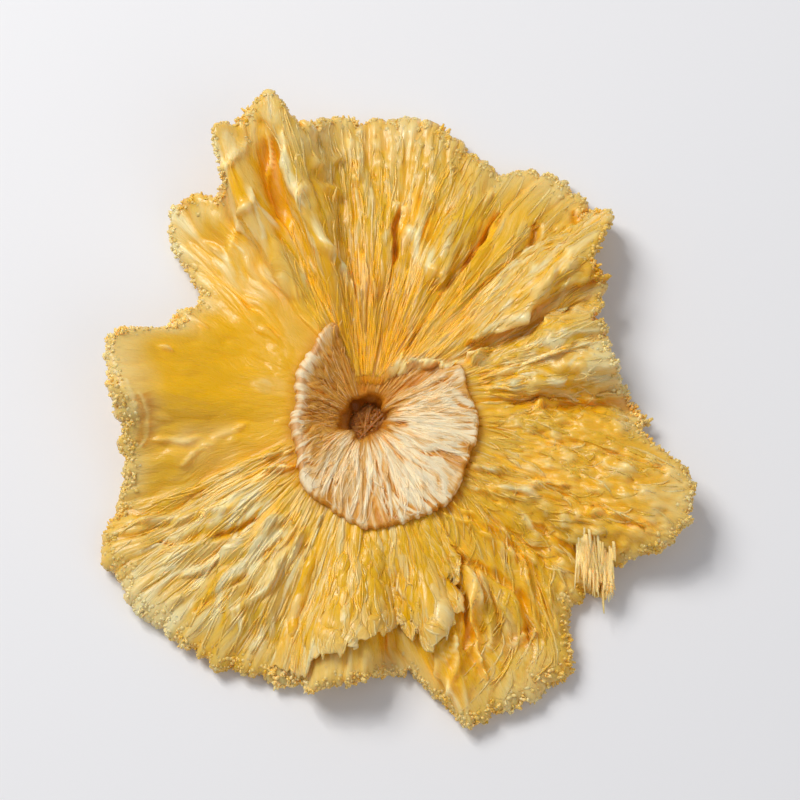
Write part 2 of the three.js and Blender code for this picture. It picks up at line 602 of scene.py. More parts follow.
def bead_piece(name: str, centres: np.ndarray, axes: np.ndarray, traits: dict) -> Piece:
    """Small rounded beads, all in one mesh: an icosahedron stretched along three axes for each bead.

    Args:
        name: the piece's name.
        centres: the middle of each bead.
        axes: three half axes for each bead, as beads x 3 x 3.
        traits: named numbers for each bead, spread over its points.

    Returns:
        The joined piece.
    """
    golden = (1.0 + math.sqrt(5.0)) / 2.0
    corners = [(0, a, b * golden) for a in (-1, 1) for b in (-1, 1)]
    solid = np.array([np.roll(c, k) for k in range(3) for c in corners], dtype=float)
    solid /= np.linalg.norm(solid, axis=1, keepdims=True)
    gaps = np.linalg.norm(solid[:, None] - solid[None], axis=-1)
    touching = (gaps > 0.1) & (gaps < 1.1)
    faces = np.array([
        (a, b, c)
        for a in range(12)
        for b in range(a + 1, 12)
        for c in range(b + 1, 12)
        if touching[a, b] and touching[b, c] and touching[a, c]
    ])
    first, second, third = (solid[faces[:, k]] for k in range(3))
    outward = (np.cross(second - first, third - first) * first).sum(axis=1) > 0
    faces = np.where(outward[:, None], faces, faces[:, ::-1])
    points = centres[:, None] + np.einsum("vk,nkx->nvx", solid, axes)
    mirrored = np.linalg.det(axes) < 0
    index = faces[None] + np.arange(len(centres))[:, None, None] * len(solid)
    index = np.where(mirrored[:, None, None], index[:, :, ::-1], index)
    spread = {key: np.repeat(value, len(solid), axis=0) for key, value in traits.items()}
    return Piece(name, points.reshape(-1, 3), [index.reshape(-1, 3)], spread)


# ---------------------------------------------------------------------------------------------------
# Finishes
# ---------------------------------------------------------------------------------------------------


def tone(red: int, green: int, blue: int) -> tuple:
    """A colour given in the usual 0 to 255 steps, as the linear numbers that a shader takes.

    Args:
        red: how much red, from 0 to 255.
        green: how much green.
        blue: how much blue.

    Returns:
        Red, green, blue and full opacity.
    """
    steps = np.array([red, green, blue]) / 255.0
    line = np.where(steps <= 0.04045, steps / 12.92, ((steps + 0.055) / 1.055) ** 2.4)
    return (*line.tolist(), 1.0)


class Sum(Enum):
    """What is done with two values of a material."""

    PLUS = "ADD"
    TIMES = "MULTIPLY"


class Recipe:
    """A material being laid out, with short ways to add its nodes and join them."""

    def __init__(self, name: str) -> None:
        """Starts a material with one principled shader.

        Args:
            name: the material's name.
        """
        self.material = bpy.data.materials.new(name)
        self.material.use_nodes = True
        self.tree = self.material.node_tree
        self.tree.nodes.clear()
        self.shader = self.add("ShaderNodeBsdfPrincipled", subsurface_method="BURLEY")
        end = self.add("ShaderNodeOutputMaterial")
        self.join(self.shader.outputs["BSDF"], end.inputs["Surface"])

    def add(self, kind: str, **settings: object) -> bpy.types.Node:
        """Adds a node.

        Args:
            kind: the node's type.
            settings: what to set on it.

        Returns:
            The new node.
        """
        node = self.tree.nodes.new(kind)
        for key, value in settings.items():
            setattr(node, key, value)
        return node

    def join(self, output: bpy.types.NodeSocket, socket: bpy.types.NodeSocket) -> None:
        """Joins an output to a socket."""
        self.tree.links.new(output, socket)

    def feed(self, socket: bpy.types.NodeSocket, value: object) -> None:
        """Joins a socket to another node's output, or sets it to a plain value.

        Args:
            socket: the input to feed.
            value: an output, or the value itself.
        """
        if isinstance(value, bpy.types.NodeSocket):
            self.join(value, socket)
        else:
            socket.default_value = value

    def trait(self, name: str) -> bpy.types.NodeSocket:
        """The number of that name that the mesh carries at each point."""
        return self.add("ShaderNodeAttribute", attribute_name=name).outputs["Fac"]

    def grain(self, scale: float, detail: float = 2.0) -> bpy.types.NodeSocket:
        """Noise that runs along the fibres, on the vector that the mesh carries as its grain."""
        vector = self.add("ShaderNodeAttribute", attribute_name="grain").outputs["Vector"]
        return self.noise(vector, scale, detail)

    def place(self) -> bpy.types.NodeSocket:
        """The place on the object, in metres."""
        return self.add("ShaderNodeTexCoord").outputs["Object"]

    def noise(
        self, vector: bpy.types.NodeSocket, scale: float, detail: float = 2.0
    ) -> bpy.types.NodeSocket:
        """Even noise from 0 to 1.

        Args:
            vector: where it is read.
            scale: how many features it has in a unit.
            detail: how many finer layers are added to it.

        Returns:
            The noise.
        """
        node = self.add("ShaderNodeTexNoise")
        self.join(vector, node.inputs["Vector"])
        node.inputs["Scale"].default_value = scale
        node.inputs["Detail"].default_value = detail
        return node.outputs["Fac"]

    def span(
        self, value: bpy.types.NodeSocket, low: float, high: float, start: float, end: float
    ) -> bpy.types.NodeSocket:
        """A value stretched from one range to another, and held there.

        Args:
            value: what is stretched.
            low: where its own range begins.
            high: where its own range ends.
            start: what low becomes.
            end: what high becomes.

        Returns:
            The stretched value.
        """
        node = self.add("ShaderNodeMapRange")
        for key, number in (("From Min", low), ("From Max", high), ("To Min", start), ("To Max", end)):
            node.inputs[key].default_value = number
        self.join(value, node.inputs["Value"])
        return node.outputs["Result"]

    def sums(self, way: Sum, a: object, b: object) -> bpy.types.NodeSocket:
        """One sum of two values, held between 0 and 1.

        Args:
            way: what is done with them.
            a: the first value.
            b: the second value.

        Returns:
            The result.
        """
        node = self.add("ShaderNodeMath", operation=way.value, use_clamp=True)
        self.feed(node.inputs[0], a)
        self.feed(node.inputs[1], b)
        return node.outputs["Value"]

    def lay(self, under: object, colour: object, share: object) -> bpy.types.NodeSocket:
        """A colour laid on another.

        Args:
            under: the colour below.
            colour: the colour laid on it.
            share: how much of it covers, from 0 to 1.

        Returns:
            The blended colour.
        """
        node = self.add("ShaderNodeMix", data_type="RGBA")
        self.feed(node.inputs["Factor"], share)
        sockets = [s for s in node.inputs if s.type == "RGBA"]
        self.feed(sockets[0], under)
        self.feed(sockets[1], colour)
        return next(s for s in node.outputs if s.type == "RGBA")

    def emboss(
        self, height: bpy.types.NodeSocket, depth: float, strength: float, under: object = None
    ) -> bpy.types.NodeSocket:
        """A bump, over another bump if one is given.

        Args:
            height: how high each place stands, from 0 to 1.
            depth: how many metres 1 is.
            strength: how much of the bump shows.
            under: the bump that it is added to.

        Returns:
            The normal to shade with.
        """
        node = self.add("ShaderNodeBump")
        node.inputs["Strength"].default_value = strength
        node.inputs["Distance"].default_value = depth
        self.join(height, node.inputs["Height"])
        if under is not None:
            self.join(under, node.inputs["Normal"])
        return node.outputs["Normal"]


@dataclass(frozen=True)
class Finish:
    """What every finish of the ring sets: its shine, its coat, its glow and the depth of its fibres."""

    name: str
    glow_depth: float
    glow_share: float
    glow_tint: tuple
    roughness: tuple
    specular: float
    coat: float
    coat_roughness: float
    fibre_scale: float
    fine_scale: float
    fibre_depth: float
    fine_depth: float

    def polish(self, recipe: Recipe, colour: object, fine: bpy.types.NodeSocket) -> None:
        """Sets all of a shader's inputs but its normal.

        Args:
            recipe: the material.
            colour: its colour.
            fine: the noise that its roughness follows.
        """
        recipe.feed(recipe.shader.inputs["Base Color"], colour)
        recipe.feed(recipe.shader.inputs["Roughness"], recipe.span(fine, 0.3, 0.7, *self.roughness))
        levels = {
            "Specular IOR Level": self.specular, "Coat Weight": self.coat,
            "Coat Roughness": self.coat_roughness, "Subsurface Weight": self.glow_share,
            "Subsurface Radius": self.glow_tint, "Subsurface Scale": self.glow_depth,
        }
        for key, value in levels.items():
            recipe.shader.inputs[key].default_value = value


@dataclass(frozen=True)
class FleshFinish(Finish):
    """Dried flesh: waxy and slightly clear, amber where it is smooth, pale along its fibres."""

    name: str = "dried flesh"
    yellow: tuple = tone(236, 184, 54)
    amber: tuple = tone(244, 184, 0)
    # The cream laid by pale: the fibres' and rim's own cream, and painted highlights where glints are laid.
    cream_and_lit: tuple = tone(249, 226, 160)
    # The crease colour: the deeper orange of creases, also laid as painted shade in valleys, below steps and
    # at the foot of the core's edge.
    shade_orange: tuple = tone(216, 134, 0)
    glow_depth: float = 0.0016
    glow_share: float = 0.70
    glow_tint: tuple = (1.0, 0.50, 0.14)
    roughness: tuple = (0.20, 0.46)
    specular: float = 0.38
    coat: float = 0.22
    coat_roughness: float = 0.16
    fibre_scale: float = 3.0
    fine_scale: float = 9.0
    blotch_scale: float = 260.0
    tiny_scale: float = 2600.0
    fibre_depth: float = 0.00022
    fine_depth: float = 0.00012
    tiny_depth: float = 0.00006

    def build(self) -> bpy.types.Material:
        """Lays amber, cream streaks with painted highlights, and orange creases with painted shade over
        yellow, and embosses the finest fibres.

        Returns:
            The material.
        """
        recipe = Recipe(self.name)
        streak = recipe.grain(self.fibre_scale, 3.0)
        fine = recipe.grain(self.fine_scale, 2.0)
        blotch = recipe.noise(recipe.place(), self.blotch_scale, 3.0)
        amber = recipe.sums(Sum.TIMES, recipe.trait("amber"), recipe.span(blotch, 0.3, 0.6, 0.75, 1.0))
        colour = recipe.lay(self.yellow, self.amber, amber)
        lift = recipe.span(streak, 0.42, 0.66, -0.20, 0.24)
        lift = recipe.sums(Sum.TIMES, lift, recipe.trait("fibrous"))
        pale = recipe.sums(Sum.PLUS, recipe.trait("pale"), lift)
        colour = recipe.lay(colour, self.cream_and_lit, pale)
        # The crease orange, partly painted shade.
        shade_orange = recipe.sums(Sum.TIMES, recipe.trait("crease_tone_and_shade"), recipe.span(fine, 0.3, 0.6, 0.6, 1.0))
        colour = recipe.lay(colour, self.shade_orange, shade_orange)
        self.polish(recipe, colour, fine)
        broad = recipe.emboss(streak, self.fibre_depth, 0.55)
        tiny = recipe.noise(recipe.place(), self.tiny_scale, 2.0)
        close = recipe.emboss(fine, self.fine_depth, 0.5, broad)
        recipe.join(recipe.emboss(tiny, self.tiny_depth, 0.35, close), recipe.shader.inputs["Normal"])
        return recipe.material


@dataclass(frozen=True)
class CoreFinish(Finish):
    """The firm core: cream bundles of fibre, brighter on the side towards the key lamp as painted light,
    orange creases that carry painted shade, and painted shade brown down in the hole.
    """

    name: str = "firm core"
    # The cream laid by pale: the bundles' own cream, and painted light on the side towards the key lamp and
    # along the lip's edge.
    cream_and_lit: tuple = tone(252, 231, 188)
    tan: tuple = tone(230, 168, 66)
    # The crease colour: the orange between bundles, also laid as painted shade on the shaded slope, towards
    # the throat and under the flesh.
    shade_orange: tuple = tone(204, 124, 10)
    # Painted shade: the brown stands for the shade down in the hole.
    hole_shade_brown: tuple = tone(150, 80, 0)
    glow_depth: float = 0.0010
    glow_share: float = 0.60
    glow_tint: tuple = (1.0, 0.55, 0.25)
    roughness: tuple = (0.32, 0.58)
    specular: float = 0.30
    coat: float = 0.15
    coat_roughness: float = 0.20
    fibre_scale: float = 3.4
    fine_scale: float = 10.88
    fibre_depth: float = 0.00020
    fine_depth: float = 0.00010

    def build(self) -> bpy.types.Material:
        """Lays cream bundles with painted light, orange creases with painted shade over tan, and painted
        shade brown where the hole goes down.

        Returns:
            The material.
        """
        recipe = Recipe(self.name)
        streak = recipe.grain(self.fibre_scale, 3.0)
        fine = recipe.grain(self.fine_scale, 2.0)
        pale = recipe.sums(Sum.PLUS, recipe.trait("pale"), recipe.span(streak, 0.4, 0.65, -0.15, 0.2))
        colour = recipe.lay(self.tan, self.cream_and_lit, pale)
        # The crease orange, partly painted shade.
        shade_orange = recipe.sums(Sum.TIMES, recipe.trait("crease_tone_and_shade"), recipe.span(fine, 0.3, 0.6, 0.6, 1.0))
        colour = recipe.lay(colour, self.shade_orange, shade_orange)
        colour = recipe.lay(colour, self.hole_shade_brown, recipe.trait("hole_shade"))
        self.polish(recipe, colour, fine)
        broad = recipe.emboss(streak, self.fibre_depth, 0.6)
        close = recipe.emboss(fine, self.fine_depth, 0.5, broad)
        recipe.join(close, recipe.shader.inputs["Normal"])
        return recipe.material


# ---------------------------------------------------------------------------------------------------
# The slice
# ---------------------------------------------------------------------------------------------------


@dataclass(frozen=True)
class SliceForm:
    """The large shape of the ring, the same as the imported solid's: its outline, its lifts and its folds."""

    core_radius: float = 12.4
    core_offset: tuple = (2.1, -1.1)
    core_oval: Wave = Wave(-1.3, 2, -10)
    core_height: float = 6.6
    core_scallops: Wave = Wave(0.25, 9, 70)
    merge: Hill = Hill(72, 0.85, 46, 16)
    merged_step: float = -0.7
    join_height: float = 2.0
    flesh_at_core: float = 2.9
    flesh_at_rim: float = 2.1
    rim_round: float = 1.1
    rim_radius: float = 33.0
    rim_frill: Wave = Wave(0.45, 31, 25)
    rim_frill_spread: Wave = Wave(1.0, 5, 10)
    rim_press: float = -2.6
    lift_curve: float = 1.5
    folds_full_at: float = 0.75
    press_soften: float = 0.35
    lip_height: float = 3.0
    lip_below_ridge: float = 1.2
    cover: Hill = Hill(68, 1.0, 50, 30)
    cover_chord: float = 6.2
    cover_inner: float = 4.9
    merged_drop: tuple = (0.8, 1.75)
    lobes: tuple = (
        Hill(16, -2.9, 16, 4), Hill(47, 6.3, 17, 6), Hill(62, 2.2, 9, 1), Hill(86, 6.4, 28, 7),
        Hill(112, 6.5, 9.5, 4.5), Hill(131, 2.4, 8, 2), Hill(149.5, -7.6, 17, 5), Hill(168, -1.7, 9),
        Hill(187, -4.0, 20, 6), Hill(226, 1.7, 26, 12), Hill(257, 0.6, 8, 2), Hill(277, -1.6, 9, 2),
        Hill(298, 5.8, 19, 8), Hill(323.5, 3.2, 3.5, 0.8), Hill(340.5, 7.2, 17, 4.5),
    )
    lifts: tuple = (
        Hill(24, 6.4, 27, 2), Hill(113, 8.6, 25, 3), Hill(170, 8.2, 33, 6), Hill(266, 4.6, 13, 2),
        Hill(343, 5.2, 20, 3),
    )
    folds: tuple = (
        Hill(4.5, -1.6, 5), Hill(12, 1.1, 6, 0, -0.4), Hill(20, 0.8, 5), Hill(27, -1.6, 5),
        Hill(36, 1.5, 8, 0, 0.7), Hill(47, -1.0, 4), Hill(58, -0.6, 3), Hill(65, 0.9, 6, 0, 0.4),
        Hill(81, -0.8, 3.5), Hill(96, -1.0, 6), Hill(105, 0.7, 5), Hill(112, -1.1, 5),
        Hill(118, 1.3, 5, 0, 0.7), Hill(124, -1.5, 5), Hill(141, 1.0, 7, 0, -0.5), Hill(158, -1.5, 11),
        Hill(196, 1.1, 8, 0, 0.3), Hill(208, -0.6, 4), Hill(217, 0.7, 5), Hill(226, -0.7, 4),
        Hill(239, 0.9, 6, 0, 0.6), Hill(248, -0.7, 4), Hill(277, -1.9, 7), Hill(290, 1.0, 6, 0, -0.8),
        Hill(303, -0.9, 4), Hill(318, -1.6, 6), Hill(331, 1.3, 7, 0, 0.7), Hill(355, 1.1, 7, 0, 0.4),
    )
    ruffle: Wave = Wave(0.35, 23, 60)
    ruffle_spread: Wave = Wave(1.0, 3, 20)

    def core_reach(self, angle: np.ndarray) -> np.ndarray:
        """Where a ray from the hole's axis meets the core's offset oval, with its scallops.

        The way to the middle along the ray, plus the half chord of the circle there, plus two waves.

        Args:
            angle: the rays, in degrees.

        Returns:
            The radius of the core's edge on each ray.
        """
        turn = np.radians(angle)
        ahead = self.core_offset[0] * np.cos(turn) + self.core_offset[1] * np.sin(turn)
        offset = math.hypot(*self.core_offset)
        reach = ahead + np.sqrt(self.core_radius**2 - offset**2 + ahead**2)
        return reach + self.core_oval.rise(angle) + self.core_scallops.rise(angle)

    def merged(self, angle: np.ndarray) -> np.ndarray:
        """How far the flesh has grown over the core's edge at each angle, from 0 to 1."""
        return smooth(self.cover.rise(angle), 0.1, 0.8)

    def past_chord(self, angle: np.ndarray) -> np.ndarray:
        """From 0 where the flesh ends in a straight ledge to 1 where its fibres run down into the hole."""
        return smooth(angle, 54.0, 70.0)

    def flesh_start(self, angle: np.ndarray) -> np.ndarray:
        """Where the flesh begins: at the core's edge, or well inside it where the two merge.

        There it follows a straight chord, at the chord's distance over the sine of the angle, and past
        the chord it runs down to its innermost radius.

        Args:
            angle: the rays, in degrees.

        Returns:
            The radius on each ray.
        """
        core = self.core_reach(angle)
        chord = self.cover_chord / np.clip(np.sin(np.radians(angle)), 0.3, 1.0)
        chord = lerp(chord, self.cover_inner, self.past_chord(angle))
        return lerp(core, np.minimum(core, chord), self.merged(angle))

    def rim_reach(self, angle: np.ndarray) -> np.ndarray:
        """The outline: the rim's radius with its lobes, notches and frill."""
        frill = self.rim_frill.rise(angle) * self.rim_frill_spread.rise(angle)
        return self.rim_radius + total(self.lobes, angle) + frill

    def grow(self, out: np.ndarray) -> np.ndarray:
        """How far the folds have grown, from none at the core to all of it towards the rim."""
        return smooth(out, 0.0, self.folds_full_at)

    def underside(self, angle: np.ndarray, out: np.ndarray) -> np.ndarray:
        """The flesh's underside: join height, plus lift times out to a power, plus the grown folds.

        Where it would go below the surface that the ring lies on, it is pressed flat with a soft bend.

        Args:
            angle: places round the ring, in degrees.
            out: how far out they are, from 0 at the core to 1 at the rim.

        Returns:
            The height of the underside at each place.
        """
        lift = (self.rim_press + total(self.lifts, angle)) * np.clip(out, 0.0, None) ** self.lift_curve
        ruffle = self.ruffle.rise(angle) * self.ruffle_spread.rise(angle)
        free = self.join_height + lift + (total(self.folds, angle) + ruffle) * self.grow(out)
        return 0.5 * (free + np.sqrt(free**2 + self.press_soften**2))

    def lean(self, angle: np.ndarray, out: np.ndarray) -> np.ndarray:
        """How far the folds hang over sideways, in millimetres: lean times height, grown outwards."""
        return sum(f.lean * f.rise(angle) for f in self.folds) * self.grow(out)

    def ridge(self, angle: np.ndarray) -> np.ndarray:
        """The height of the core's edge, which sinks into the flesh where the two merge.

        Args:
            angle: places round the ring, in degrees.

        Returns:
            The height at each place.
        """
        top = self.underside(angle, np.zeros_like(angle)) + self.flesh_at_core
        sunk = np.maximum(self.merge.rise(angle), self.merged(angle))
        return lerp(self.core_height, top + self.merged_step, sunk)


@dataclass
class Flesh:
    """The ruffled flesh of the slice, from under the core's edge to the rim and back underneath."""

    form: SliceForm
    steps: int = 1240
    top_steps: int = 64
    rim_steps: int = 5
    under_steps: int = 9
    tuck: float = 0.13
    fibre_height: float = 0.58
    pleat_height: float = 1.0
    lump_height: float = 0.9
    tooth: float = 0.9
    reach: float = 23.0
    sway: float = 0.8
    tucked: tuple = (2.7, 1.2)
    zones: tuple = (
        Zone(40, 122, -0.05, 0.40, 560, (0.30, 0.70), (3.0, 9.0), (0.0, 0.85)),
        Zone(50, 110, 0.35, 1.00, 320, (0.6, 1.4), (3.0, 9.0), (0.0, 1.0)),
        Zone(203, 262, 0.00, 0.50, 260, (0.5, 1.1), (4.0, 11.0), (0.0, 1.0)),
        Zone(206, 262, 0.35, 1.00, 220, (0.8, 2.0), (5.0, 12.0), (0.0, 1.0)),
        Zone(258, 290, 0.00, 1.00, 150, (0.8, 1.7), (4.0, 10.0), (0.0, 0.8)),
        Zone(4, 50, 0.00, 0.50, 260, (0.45, 1.0), (3.0, 9.0), (0.0, 0.9)),
        Zone(4, 52, 0.35, 1.00, 260, (0.6, 1.6), (4.0, 11.0), (0.0, 1.0)),
        Zone(318, 364, 0.00, 0.45, 240, (0.45, 1.0), (2.0, 7.0), (0.0, 0.9), (0.4, 1.0), (-2, 2)),
        Zone(320, 364, 0.40, 1.00, 200, (0.6, 1.5), (1.5, 5.0), (0.0, 0.9), (0.4, 1.0), (-3, 3)),
        Zone(292, 322, 0.00, 1.00, 190, (0.5, 1.1), (4.0, 11.0), (0.0, 0.8), (0.3, 0.7), (-12, -5)),
        Zone(104, 142, 0.30, 1.00, 160, (0.7, 1.6), (3.0, 9.0), (0.1, 1.0)),
        Zone(140, 204, 0.00, 0.35, 80, (0.7, 1.4), (2.0, 6.0), (0.0, 0.4), (0.1, 0.30)),
        Zone(142, 206, 0.60, 1.00, 110, (0.9, 2.2), (3.0, 8.0), (0.2, 0.9), (0.15, 0.5)),
    )
    upper_left: tuple = (
        Ridge(((38.0, 110), (32.0, 111), (26.0, 112.5)), 2.4, 2.4, -0.9, -0.35),
        Ridge(((40.5, 112.6), (37.0, 114.8), (35.0, 118.0), (33.4, 122.5)), 0.7, 0.7, 0.8, 0.75),
        Ridge(((30.7, 118.4), (28.4, 121.3), (27.2, 126.2), (25.0, 130.0)), 0.5, 0.5, 0.5, 0.55),
        Ridge(((35.5, 106.7), (31.9, 107.1), (26.0, 106.4), (19.5, 103.0)), 0.7, 0.6, 0.8, 0.6),
        Ridge(((36.5, 109.6), (32.2, 111.8), (27.9, 114.5)), 0.30, 0.30, 0.5, 0.6),
        Ridge(((23.5, 117.5), (19.5, 119.5), (16.5, 116.0)), 2.2, 2.4, 0.3, 0.45),
        # Painted highlight: a glint laid as cream.
        Ridge(((20.2, 108.9), (17.8, 108.0)), 0.55, 0.55, 0.4, 1.0),
    )
    top: tuple = (
        Ridge(((28.2, 105.9), (22.7, 106.6), (19.0, 102.2), (15.0, 98.5)), 0.7, 0.5, 0.8, 0.7),
        Ridge(((27.0, 81.8), (23.5, 80.8), (19.5, 79.0)), 0.9, 0.9, -1.2, -1.0),
        Ridge(((27.3, 83.2), (27.1, 79.3)), 0.65, 0.7, 1.0, 0.9),
        Ridge(((24.3, 76.7), (21.5, 71.0), (18.5, 63.0)), 1.7, 1.6, 0.5, 0.85),
        # Painted highlight: a glint laid as cream.
        Ridge(((20.4, 67.6), (18.8, 64.8)), 0.7, 0.7, 0.6, 1.0),
        Ridge(((22.0, 56.0), (26.0, 57.2), (31.5, 58.4)), 0.35, 0.5, -1.2, -0.9),
        Ridge(((19.0, 63.0), (25.0, 63.0), (32.5, 62.0)), 2.2, 1.4, 0.8, 0.55),
        Ridge(((36.0, 102.8), (36.0, 100.6)), 1.3, 1.3, 0.9, 0.6),
        Ridge(((31.6, 103.2), (31.6, 101.0)), 1.1, 1.1, 0.8, 0.6),
        Ridge(((29.2, 99.6), (29.2, 97.4)), 1.2, 1.2, 0.8, 0.5),
        Ridge(((33.5, 98.0), (33.5, 95.8)), 1.2, 1.2, 0.7, 0.5),
        Ridge(((36.0, 93.0), (31.0, 92.7)), 1.7, 1.5, 0.6, 0.8),
        Ridge(((17.0, 99.0), (14.0, 97.0)), 0.55, 0.55, 0.6, 1.0),
        Ridge(((16.5, 93.5), (13.5, 92.0)), 0.55, 0.55, 0.6, 1.0),
        Ridge(((16.8, 86.5), (14.0, 86.0)), 0.45, 0.45, 0.6, 0.9),
    )
    upper_right: tuple = (
        Ridge(((15.5, 34.0), (24.0, 32.6), (28.7, 32.4), (34.3, 28.5)), 3.0, 0.3, 1.5, 0.35),
        Ridge(((18.0, 43.0), (24.0, 44.5), (32.0, 42.5)), 2.0, 2.0, 0.7, 0.75),
        Ridge(((32.6, 50.0), (30.2, 47.0)), 1.1, 1.1, -1.1, -1.0),
        Ridge(((37.0, 46.0), (35.8, 43.0)), 0.9, 0.9, -1.0, -1.0),
        Ridge(((33.8, 31.5), (31.0, 30.5)), 1.0, 1.0, -1.1, -1.0),
        Ridge(((32.3, 23.0), (29.3, 21.0)), 1.0, 1.0, -1.2, -1.0),
        Ridge(((16.6, 26.0), (14.0, 25.0)), 1.0, 1.0, 1.3, 0.95),
        Ridge(((27.8, 28.0), (24.3, 24.0)), 0.7, 0.7, 0.7, 0.9),
        Ridge(((29.4, 26.0), (25.8, 22.0)), 0.5, 0.5, 0.7, 0.8),
        Ridge(((20.5, -1.0), (25.0, 3.6), (31.5, 4.2), (37.0, 5.4)), 2.4, 0.4, 1.0, 0.1),
        Ridge(((14.7, 8.6), (21.9, 10.0), (30.5, 11.0)), 1.0, 0.8, 0.7, 0.65),
        Ridge(((15.0, 15.5), (21.0, 16.5), (29.0, 15.8)), 0.9, 0.9, 0.6, 0.5),
        Ridge(((8.0, 55.0), (9.9, 39.9), (12.3, 30.0)), 0.38, 0.38, 0.8, 1.0),
        Ridge(((12.3, 63.0), (8.1, 58.0)), 0.30, 0.30, 0.6, 1.0),
    )
    lower_right: tuple = (
        Ridge(((18.0, 336.5), (14.4, 330.5)), 0.75, 0.75, 0.8, 0.95),
        Ridge(((16.4, 323.0), (21.4, 333.0), (25.5, 338.5)), 0.8, 0.7, 0.7, 0.6),
        Ridge(((29.0, 333.4), (32.0, 335.3), (35.6, 336.6)), 0.65, 0.5, 0.9, 0.95),
        Ridge(((28.4, 331.0), (30.8, 331.6)), 0.9, 0.9, -0.9, -0.9),
        Ridge(((20.5, 303.0), (24.5, 300.6), (29.3, 295.6), (34.7, 294.0)), 1.0, 1.0, 1.6, 1.0),
        Ridge(((22.5, 295.0), (26.2, 296.6), (31.0, 291.8)), 0.75, 0.75, -1.6, -1.0),
        Ridge(((20.8, 300.4), (25.9, 308.6), (29.7, 308.6), (33.2, 305.6)), 0.8, 0.8, -1.6, -1.0),
        Ridge(((23.5, 304.2), (27.5, 302.0), (32.0, 297.4)), 0.8, 0.8, 0.9, 0.75),
        Ridge(((26.8, 305.4), (31.5, 302.6)), 1.0, 1.0, 0.7, 0.85),
        Ridge(((15.5, 311.0), (24.0, 318.0), (29.7, 315.2), (34.5, 311.0)), 1.1, 0.8, 0.9, 0.45),
        Ridge(((15.5, 306.0), (21.5, 313.5), (27.5, 313.0), (33.5, 308.8)), 0.7, 0.7, 0.8, 0.35),
        Ridge(((25.0, 289.6), (29.0, 287.4), (33.4, 285.2)), 0.5, 0.5, 0.8, 0.7),
        Ridge(((28.0, 291.0), (35.0, 286.8)), 0.5, 0.5, 0.8, 0.7),
        Ridge(((24.0, 326.0), (30.0, 325.5), (35.0, 324.5)), 0.8, 0.8, -0.8, -0.6),
        Ridge(((32.6, 299.4), (32.9, 307.7)), 0.35, 0.35, 0.8, 1.0),
    )
    lower_left: tuple = (
        Ridge(((16.0, 233.5), (22.0, 228.6), (29.0, 222.4)), 1.5, 1.3, 0.8, 1.0),
        Ridge(((16.5, 244.5), (22.0, 241.5), (28.8, 238.0)), 1.0, 1.0, 0.8, 0.95),
        Ridge(((13.8, 247.0), (20.0, 250.5), (27.4, 252.5)), 0.6, 0.5, 0.5, 0.75),
        Ridge(((18.0, 238.5), (24.0, 234.8), (31.0, 230.5)), 0.5, 0.5, -0.8, -0.7),
        Ridge(((18.0, 226.0), (24.0, 218.5), (29.0, 213.5)), 0.7, 0.7, -0.8, -0.8),
        Ridge(((20.0, 216.5), (26.0, 209.5), (29.5, 206.0)), 0.9, 0.9, 0.7, 0.6),
        Ridge(((30.5, 226.5), (33.0, 225.0)), 0.8, 0.8, 0.4, 0.9),
    )
    left: tuple = (
        Ridge(((28.2, 176.0), (27.5, 183.0), (28.2, 190.0)), 0.6, 0.6, 0.15, 0.9),
        Ridge(((26.7, 178.0), (26.1, 184.0), (26.9, 190.0)), 0.45, 0.45, 0.15, 0.7),
        Ridge(((25.2, 188.8), (22.0, 190.2), (18.8, 192.3)), 1.0, 0.9, 0.6, 1.0),
        Ridge(((25.6, 163.6), (24.2, 164.4)), 0.55, 0.55, 0.6, 0.9),
        Ridge(((13.6, 166.0), (11.6, 164.5)), 1.3, 1.3, 0.2, 0.7),
        Ridge(((22.5, 197.0), (18.0, 191.5), (14.4, 186.5)), 0.9, 0.8, 0.5, 0.6),
        Ridge(((13.2, 203.5), (10.2, 210.0)), 0.5, 0.5, 0.8, 0.9),
        Ridge(((13.8, 211.0), (11.0, 219.0)), 0.45, 0.45, 0.8, 0.8),
        Ridge(((29.5, 152.0), (25.5, 150.5), (22.0, 152.0)), 0.6, 0.6, 0.6, 0.6),
    )
    fibrous: tuple = (
        Patch(80, 48, 0.35, 0.75, 1.0), Patch(232, 44, 0.5, 0.75, 1.0), Patch(22, 30, 0.5, 0.8, 0.8),
        Patch(275, 26, 0.4, 0.7, 0.9), Patch(305, 24, 0.5, 0.7, 0.8), Patch(340, 26, 0.4, 0.6, 0.5),
        Patch(122, 22, 0.75, 0.6, 0.6),
    )
    lumpy: tuple = (
        Patch(340, 26, 0.6, 0.6, 1.0), Patch(88, 26, 0.85, 0.4, 0.7), Patch(12, 20, 0.5, 0.6, 0.5),
        Patch(318, 10, 0.75, 0.4, 0.6), Patch(40, 14, 0.8, 0.4, 0.6),
    )
    amber: tuple = (
        Patch(168, 44, 0.35, 0.62, 1.0), Patch(114, 9, 0.72, 0.5, 0.8), Patch(27, 14, 0.45, 0.4, 0.7),
        Patch(9, 13, 0.5, 0.6, 0.9), Patch(226, 24, 0.05, 0.3, 0.9), Patch(274, 13, 0.6, 0.3, 0.8),
        Patch(294, 9, 0.55, 0.4, 0.6), Patch(318, 9, 0.5, 0.5, 0.4), Patch(82, 42, 0.15, 0.75, 1.0),
        Patch(262, 16, 0.3, 0.4, 0.5),
    )
